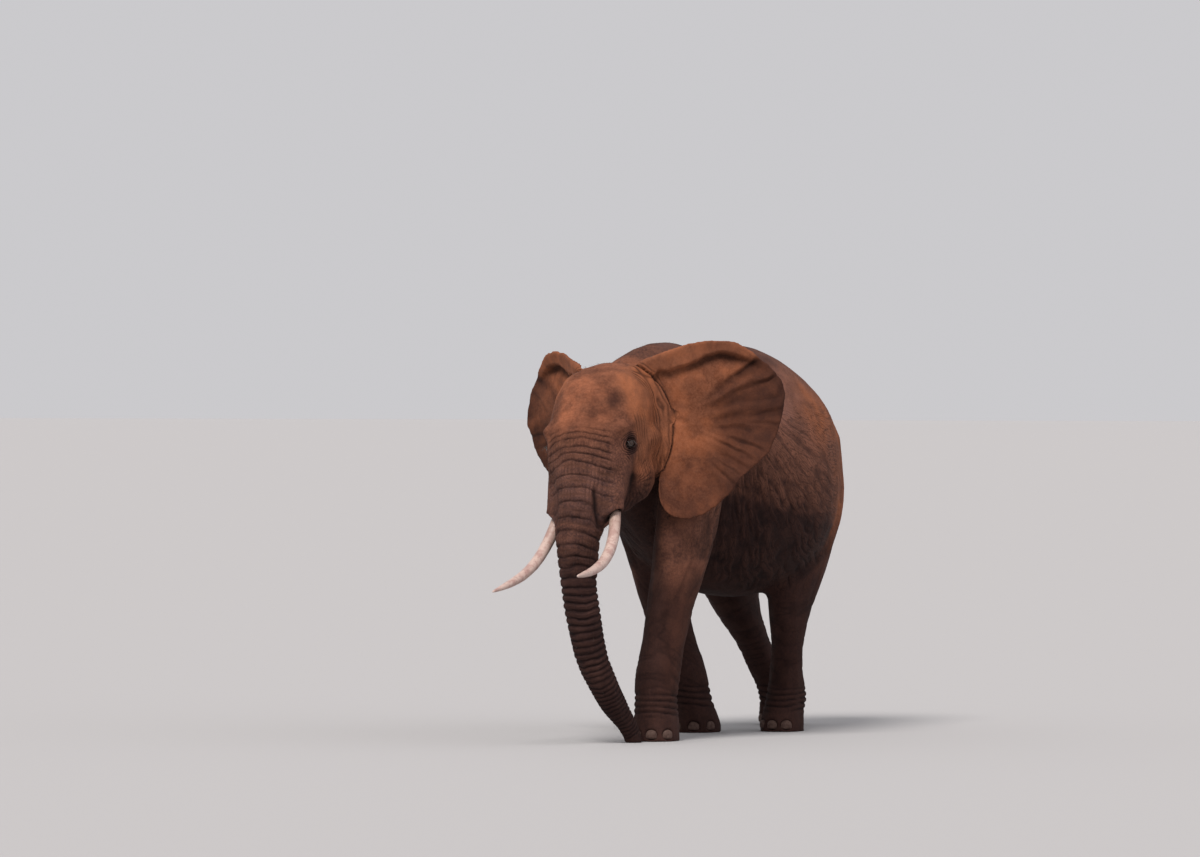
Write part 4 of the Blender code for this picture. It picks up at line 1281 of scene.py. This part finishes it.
def eyeball(word):
    """A wet, dark eye with a domed cornea; it looks out and a little ahead."""
    gaze = gaze_of(word)
    turn = gaze.to_track_quat("Z", "Y").to_matrix().to_4x4()
    mesh = ball(f"eyeball_{word}", 64, 48, EYE_RADIUS - 0.0004)
    points = points_of(mesh)
    angle = np.arccos(np.clip(points[:, 2] / np.linalg.norm(points, axis=1), -1, 1))
    dome = 1 + 0.05 * ramp(angle, 0.52, 0.0)
    move_points(mesh, points * dome[:, None])
    set_numbers(mesh, "from_pupil", angle)
    mesh.transform(Matrix.Translation(EYE[word]) @ turn)
    made = finished(f"eyeball_{word}", mesh, "eyeball", f"eye_{word}")
    made.data.materials.append(eye_material())
    return made


@cache
def eye_material():
    """Black pupil, amber iris, dark rim and brown white, all under a wet coat."""
    made, tree, shader = material("wet eye", 0.08)
    angle = tree.mark("from_pupil")
    where = tree.place()
    streaks = tree.add("ShaderNodeTexNoise", Vector=where, Scale=420.0, Detail=4.0)
    amber = tree.mixed(streaks.outputs["Fac"], (0.060, 0.024, 0.010, 1), (0.020, 0.009, 0.006, 1))
    white = tree.mixed(streaks.outputs["Fac"], (0.060, 0.040, 0.036, 1), (0.022, 0.013, 0.012, 1))
    colour = tree.mixed(tree.spread(angle, 0.42, 0.50), amber, white)
    colour = tree.mixed(tree.spread(angle, 0.20, 0.16), colour, (0.002, 0.002, 0.002, 1))
    rim = tree.times(tree.spread(angle, 0.36, 0.44), tree.spread(angle, 0.56, 0.48))
    colour = tree.mixed(tree.times(rim, 0.8), colour, (0.004, 0.003, 0.003, 1))
    tree.set(shader, "Base Color", colour)
    shader.inputs["Specular IOR Level"].default_value = 0.3
    shader.inputs["Coat Weight"].default_value = 0.22
    shader.inputs["Coat Roughness"].default_value = 0.03
    return made


# ---------------------------------------------------------------- ivory
def section(mesh, at, way):
    """The points where a plane cuts a mesh's edges."""
    points = points_of(mesh)
    side = (points - at) @ way
    a, b = edges_of(mesh).T
    crossed = side[a] * side[b] < 0
    a, b = a[crossed], b[crossed]
    t = side[a] / (side[a] - side[b])
    return points[a] + t[:, None] * (points[b] - points[a])


TUSK_END = 0.985  # how far along from root to tip the worn end lies
TUSK_BLUNT = 0.016  # the length over which it rounds off


def tusk_form(solid):
    """Places down the middle of a tusk's solid, and the tusk's radius at each."""
    points = points_of(solid)
    tip = points[np.argmin(points[:, 1])]
    root = points[np.argsort(-points[:, 2])[:12]].mean(axis=0)
    stations = np.linspace(0.05, 0.97, 24)
    line = root + stations[:, None] * (tip - root)
    ways = np.repeat((tip - root)[None], 24, axis=0)
    for _ in range(3):
        cuts = [section(solid, at, way) for at, way in zip(line, ways)]
        line = np.array([c.mean(axis=0) if len(c) > 5 else at for c, at in zip(cuts, line)])
        ways = np.gradient(line, axis=0)
    girth = [np.linalg.norm(c - at, axis=1).mean() for c, at in zip(cuts, line)]
    bend = [np.polyfit(stations, line[:, k], 4) for k in range(3)]
    taper = np.polyfit(stations, girth, 4)
    t = np.concatenate([np.linspace(0, 0.9, 40), np.linspace(0.9, TUSK_END, 14)[1:]])
    path = np.column_stack([np.polyval(fit, t) for fit in bend])
    radius = np.clip(np.polyval(taper, t), 0.006, None)
    left = (TUSK_END - t) * np.linalg.norm(tip - root)
    rounding = 1 - (1 - np.clip(left / TUSK_BLUNT, 0, 1)) ** 2
    return path, radius * np.sqrt(np.clip(rounding, 0.02, 1))


def tube(path, radius):
    """A closed round tube along this path, of this radius at each of its places."""
    data = bpy.data.curves.new("tusk", "CURVE")
    data.dimensions = "3D"
    data.bevel_depth = 1.0
    data.bevel_resolution = 10
    data.use_fill_caps = True
    spline = data.splines.new("POLY")
    spline.points.add(len(path) - 1)
    for point, place, thick in zip(spline.points, path, radius):
        point.co = (*place, 1)
        point.radius = thick
    guide = new_object("tusk guide", data)
    graph = bpy.context.evaluated_depsgraph_get()
    mesh = bpy.data.meshes.new_from_object(guide.evaluated_get(graph))
    bpy.data.objects.remove(guide)
    weld(mesh)
    with edited(mesh) as bm:
        bmesh.ops.recalc_face_normals(bm, faces=bm.faces)
    return mesh


def tusk(word):
    """The tusk's own curve and girth, turned round and worn blunt at the tip."""
    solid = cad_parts[f"tusk_{word}"].data.copy()
    weld(solid)
    path, radius = tusk_form(solid)
    mesh = tube(path, radius)
    points = points_of(mesh)
    along = near_line(points, path)[0]
    dents = 0.0007 * wander(points, 0.03, 81) + 0.0012 * wander(points, 0.09, 82)
    move_points(mesh, points + normals_of(mesh) * dents[:, None])
    set_numbers(mesh, "along", along / along.max())
    made = finished(f"ivory_{word}", mesh, "ivory", f"tusk_{word}")
    made.data.materials.append(ivory_material())
    return made


@cache
def ivory_material():
    """Pinkish ivory with stains, darker towards the lip."""
    made, tree, shader = material("worn ivory", 0.42)
    along = tree.mark("along")
    where = tree.place()
    stains = tree.shared(patch_group(), Size=0.07, Start=0.44, End=0.60)
    flecks = tree.shared(patch_group(), Size=0.014, Start=0.56, End=0.66)
    grain = tree.add("ShaderNodeTexNoise", Vector=where, Scale=90.0, Detail=5.0)
    colour = tree.mixed(stains, (0.50, 0.37, 0.32, 1), (0.38, 0.24, 0.21, 1))
    colour = tree.mixed(tree.times(flecks, 0.55), colour, (0.20, 0.125, 0.10, 1))
    root = tree.spread(along, 0.30, 0.02)
    colour = tree.mixed(tree.times(root, 0.5), colour, (0.22, 0.13, 0.09, 1))
    tree.set(shader, "Base Color", colour)
    tree.set(shader, "Roughness", tree.spread(grain.outputs["Fac"], 0.3, 0.7, 0.36, 0.55))
    tree.bumped(shader, tree.maths("ADD", grain.outputs["Fac"], flecks), 0.35, 0.001)
    return made


# ---------------------------------------------------------------- toenails
NAIL = (0.035, 0.017, 0.030)  # half a nail's width, thickness and height


def toenail(node):
    """A thick, blunt nail with growth ridges, worn flat along the ground."""
    centre = middle(node)
    words = node.split("_")
    foot = middle(f"{words[1]}foot_{words[2]}")
    out = (centre - foot) * Vector((1, 1, 0))
    turn = out.to_track_quat("Y", "Z").to_matrix().to_4x4()
    mesh = ball(node, 40, 26, 1)
    points = points_of(mesh)
    below = np.clip(-points[:, 2], 0, 1)
    points[:, 2] = np.where(points[:, 2] > 0, points[:, 2], -0.88 * np.sin(below * math.pi / 2))
    points[:, 0] *= 1 + 0.22 * below
    ridges = 0.03 * np.sin(9 * points[:, 2] + 1.5 * points[:, 0])
    points[:, 1] *= 1 + ridges
    move_points(mesh, points * NAIL)
    mesh.transform(Matrix.Translation(centre) @ turn)
    made = finished("horn_" + node, mesh, "toenail", node)
    made.data.materials.append(nail_material())
    return made


@cache
def nail_material():
    """Brown horn with upright fibres under dry dust."""
    made, tree, shader = material("dusty horn", 0.70)
    shader.inputs["Specular IOR Level"].default_value = 0.15
    where = tree.place()
    stretch = tree.add("ShaderNodeMapping", Vector=where, Scale=(150.0, 150.0, 22.0))
    fibres = tree.add("ShaderNodeTexNoise", Vector=stretch.outputs[0], Scale=1.0, Detail=4.0)
    dust = tree.shared(patch_group(), Size=0.03, Start=0.40, End=0.62)
    colour = tree.mixed(fibres.outputs["Fac"], (0.055, 0.032, 0.026, 1), (0.125, 0.078, 0.062, 1))
    colour = tree.mixed(tree.times(dust, 0.7), colour, (0.050, 0.026, 0.021, 1))
    tree.set(shader, "Base Color", colour)
    tree.bumped(shader, fibres.outputs["Fac"], 0.4, 0.001)
    return made


# ---------------------------------------------------------------- hair
def strand():
    """One hair of unit length and thickness, closed and tapered."""
    mesh = bpy.data.meshes.new("strand")
    with edited(mesh) as bm:
        bmesh.ops.create_cone(
            bm, segments=4, radius1=1, radius2=0.15, depth=1, cap_ends=True, cap_tris=True
        )
        for k in range(1, 6):
            bmesh.ops.bisect_plane(
                bm,
                geom=bm.verts[:] + bm.edges[:] + bm.faces[:],
                plane_co=(0, 0, k / 6 - 0.5),
                plane_no=(0, 0, 1),
            )
    mesh.transform(Matrix.Translation((0, 0, 0.5)))
    return mesh


class Unwrap:
    """A flat layout of the skin's own shape, to look up where a hair's root lies."""

    def __init__(self, hide):
        coarse = new_object("coarse", hide.data.copy())
        thin = coarse.modifiers.new("thin", "DECIMATE")
        thin.ratio = 0.02
        bake(coarse)
        bpy.context.view_layer.objects.active = coarse
        coarse.select_set(True)
        bpy.ops.object.mode_set(mode="EDIT")
        bpy.ops.mesh.select_all(action="SELECT")
        bpy.ops.uv.smart_project(island_margin=0.004)
        bpy.ops.object.mode_set(mode="OBJECT")
        mesh = coarse.data
        self.tree = BVHTree.FromPolygons(
            [tuple(v.co) for v in mesh.vertices], [list(p.vertices) for p in mesh.polygons]
        )
        layout = mesh.uv_layers.active.data
        self.middles = [
            sum((layout[k].uv for k in p.loop_indices), Vector((0, 0))) / p.loop_total
            for p in mesh.polygons
        ]
        bpy.data.objects.remove(coarse)

    def place(self, point):
        return self.middles[self.tree.find_nearest(point)[2]]


TUFT_PATCH = 0.003
TAIL_HAIRS = 260
BRISTLES = 900


def hair(name, unwrap, roots, ways, lengths, thickness, droop, node=None):
    """Many hairs in one mesh. Each leaves its root along its way and bends down."""
    template = strand()
    shape = points_of(template)
    roots = np.asarray(roots, float)
    ways = np.asarray(ways, float)
    ways /= np.linalg.norm(ways, axis=1)[:, None]
    lengths = np.asarray(lengths, float)[:, None, None]
    first = np.cross(ways, (0.31, 0.42, 0.85))
    first /= np.linalg.norm(first, axis=1)[:, None]
    second = np.cross(ways, first)
    t = shape[None, :, 2, None]  # from 0 at the root to 1 at the tip
    bend = t**2 * np.array((0, 0, -droop))
    points = roots[:, None] + lengths * (t * ways[:, None] + bend)
    points += thickness * shape[None, :, 0, None] * first[:, None]
    points += thickness * shape[None, :, 1, None] * second[:, None]
    mesh = bpy.data.meshes.new(name)
    with edited(mesh) as bm:
        for _ in range(len(roots)):
            bm.from_mesh(template)
    move_points(mesh, points.reshape(-1, 3))
    spots = np.array([unwrap.place(root) for root in roots.tolist()])
    corner = np.empty(len(mesh.loops), np.int32)
    mesh.loops.foreach_get("vertex_index", corner)
    which, own = np.divmod(corner, len(shape))
    flat = spots[which] + TUFT_PATCH * shape[own][:, [0, 2]]
    layer = mesh.uv_layers.new(name="OFBake")
    layer.data.foreach_set("uv", flat.ravel().astype(np.float32))
    made = finished(name, mesh, "tail_hair", *([node] if node else []))
    made.data.materials.append(hair_material())
    return made


@cache
def hair_material():
    """Nearly black hair, browner in places."""
    made, tree, shader = material("black hair", 0.5)
    tone = tree.shared(patch_group(), Size=0.02, Start=0.35, End=0.65)
    colour = tree.mixed(tone, (0.012, 0.009, 0.008, 1), (0.040, 0.026, 0.020, 1))
    tree.set(shader, "Base Color", colour)
    return made


def tail_tuft(unwrap, chance):
    """Wiry hairs all round the end of the tail, that hang down and a little out."""
    low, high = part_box("tail_tuft")
    height = chance.uniform(0.35, 1.0, TAIL_HAIRS)
    around = chance.uniform(0, 2 * math.pi, TAIL_HAIRS)
    ring = np.column_stack([np.cos(around), np.sin(around), np.zeros(TAIL_HAIRS)])
    roots = np.array(middle("tail_tuft")) + ring * 0.012
    roots[:, 2] = low.z + height * (high.z - low.z)
    ways = ring * chance.uniform(0.05, 0.30, (TAIL_HAIRS, 1)) + (0, 0, -1)
    lengths = np.minimum(chance.uniform(0.16, 0.26, TAIL_HAIRS), roots[:, 2] - low.z)
    return hair("tail_hairs", unwrap, roots, ways, lengths, 0.0013, 0.0, "tail_tuft")


def lashes(word, unwrap, chance):
    """Long lashes off the upper lid, a few short ones off the lower."""
    gaze = np.array(gaze_of(word))
    aft, top = lid_axes(word)
    turns = np.concatenate([np.linspace(0.35, 2.8, 34), np.linspace(-0.5, -2.6, 14)])
    turns = turns + chance.uniform(-0.03, 0.03, len(turns))
    roots = []
    ways = []
    lengths = []
    for turn in turns:
        u = LID_OPENING[0] * 1.02 * math.cos(turn)
        v = LID_OPENING[1] * 1.04 * math.sin(turn) + LID_SLOPE * u
        w = math.sqrt(max((EYE_RADIUS + 0.6 * LID_THICKNESS) ** 2 - u * u - v * v, 0))
        roots.append(np.array(EYE[word]) + u * aft + v * top + w * gaze)
        upper = math.sin(turn) > 0
        fall = -0.45 if upper else -0.3
        ways.append(gaze + 0.5 * u / LID_OPENING[0] * aft + fall * top)
        lengths.append(chance.uniform(0.028, 0.045) if upper else chance.uniform(0.010, 0.018))
    return hair(f"lashes_{word}", unwrap, roots, ways, lengths, 0.0006, 0.35)


def bristles(made, unwrap, chance):
    """Sparse stiff hairs on the chin, down the trunk, on the crown and the spine."""
    mesh = made.data
    count = len(mesh.polygons)
    centres = np.empty(count * 3)
    mesh.polygons.foreach_get("center", centres)
    centres = centres.reshape(-1, 3)
    normals = np.empty(count * 3)
    mesh.polygon_normals.foreach_get("vector", normals)
    normals = normals.reshape(-1, 3)
    area = np.empty(count)
    mesh.polygons.foreach_get("area", area)
    out, back, up = in_face_axes(centres).T
    chin = within(up, -0.75, -0.30, 0.05) * within(back, -0.05, 0.35, 0.05)
    chin *= ramp(np.abs(out), 0.22, 0.15)
    trunk = ramp(centres[:, 1], -0.70, -0.75) * ramp(centres[:, 2], 1.5, 1.3)
    crown = ramp(up, 0.35, 0.45) * within(back, -0.05, 0.4, 0.05) * ramp(np.abs(out), 0.3, 0.2)
    spine = ramp(np.abs(centres[:, 0]), 0.12, 0.05) * ramp(normals[:, 2], 0.6, 0.9)
    spine *= ramp(centres[:, 2], 2.0, 2.2)
    weight = area * (3.0 * chin + 0.5 * trunk + 1.2 * crown + 0.6 * spine)
    picked = chance.choice(count, BRISTLES, replace=False, p=weight / weight.sum())
    ways = normals[picked] + chance.uniform(-0.35, 0.35, (BRISTLES, 3)) + (0, 0.1, -0.25)
    lengths = chance.uniform(0.010, 0.028, BRISTLES)
    roots = centres[picked] - 0.001 * normals[picked]
    return hair("bristles", unwrap, roots, ways, lengths, 0.0005, 0.35)


# ---------------------------------------------------------------- camera, light, floor
CAMERA_AZIMUTH = 30  # degrees round from straight ahead of her to her left
CAMERA_AIM = Vector((0.0476, 0.5804, 2.2))
CAMERA_ASIDE = 0.7134  # leaves the wider space in front of her
CAMERA_AWAY = 47
CAMERA_DOWN = math.atan(0.00553)
CAMERA_LENS = 221.4
FLOOR_HALF = 400


def look():
    """The camera stands far off, a third of the way round to her left, a little low."""
    azimuth = math.radians(CAMERA_AZIMUTH)
    back = Vector((math.sin(azimuth), -math.cos(azimuth), 0))
    right = Vector((math.cos(azimuth), math.sin(azimuth), 0))
    data = bpy.data.cameras.new("camera")
    data.lens = CAMERA_LENS
    data.sensor_width = 36
    data.clip_end = 2000
    camera = new_object("camera", data)
    camera.location = CAMERA_AIM - right * CAMERA_ASIDE + back * CAMERA_AWAY
    camera.rotation_euler = (math.pi / 2 - CAMERA_DOWN, 0, azimuth)
    bpy.context.scene.camera = camera


def sun(name, azimuth, height, power, spread, colour):
    """A broad soft light from far off; azimuth 0 is straight ahead of her."""
    data = bpy.data.lights.new(name, "SUN")
    data.energy = power
    data.angle = math.radians(spread)
    data.color = colour
    made = new_object(name, data)
    turn = math.radians(azimuth)
    rise = math.radians(height)
    ahead = math.cos(rise)
    source = Vector((ahead * math.sin(turn), -ahead * math.cos(turn), math.sin(rise)))
    made.rotation_euler = (-source).to_track_quat("-Z", "Y").to_euler()


def stage():
    """A plain pale floor, a pale sky, a soft key light and a weak fill."""
    mesh = bpy.data.meshes.new("floor")
    with edited(mesh) as bm:
        bmesh.ops.create_grid(bm, x_segments=1, y_segments=1, size=FLOOR_HALF)
    floor = new_object("floor", mesh)
    pale, _, shader = material("pale floor", 0.9)
    shader.inputs["Base Color"].default_value = (0.40, 0.392, 0.392, 1)
    mesh.materials.append(pale)
    world = bpy.data.worlds.new("sky")
    world.use_nodes = True
    sky = world.node_tree.nodes["Background"]
    sky.inputs["Color"].default_value = (0.96, 0.95, 0.98, 1)
    sky.inputs["Strength"].default_value = 0.62
    bpy.context.scene.world = world
    bpy.context.scene.view_settings.view_transform = "Standard"
    sun("key", 8, 50, 3.3, 22, (1.0, 0.955, 0.92))
    sun("fill", 95, 30, 0.5, 60, (0.95, 0.92, 1.0))


look()
stage()
hide_piece = skin()
layout = Unwrap(hide_piece)
luck = np.random.default_rng(7)  # the same hairs every time
for word in SIDES:
    eyeball(word)
    tusk(word)
    lashes(word, layout, luck)
for node in NAILS:
    toenail(node)
tail_tuft(layout, luck)
bristles(hide_piece, layout, luck)
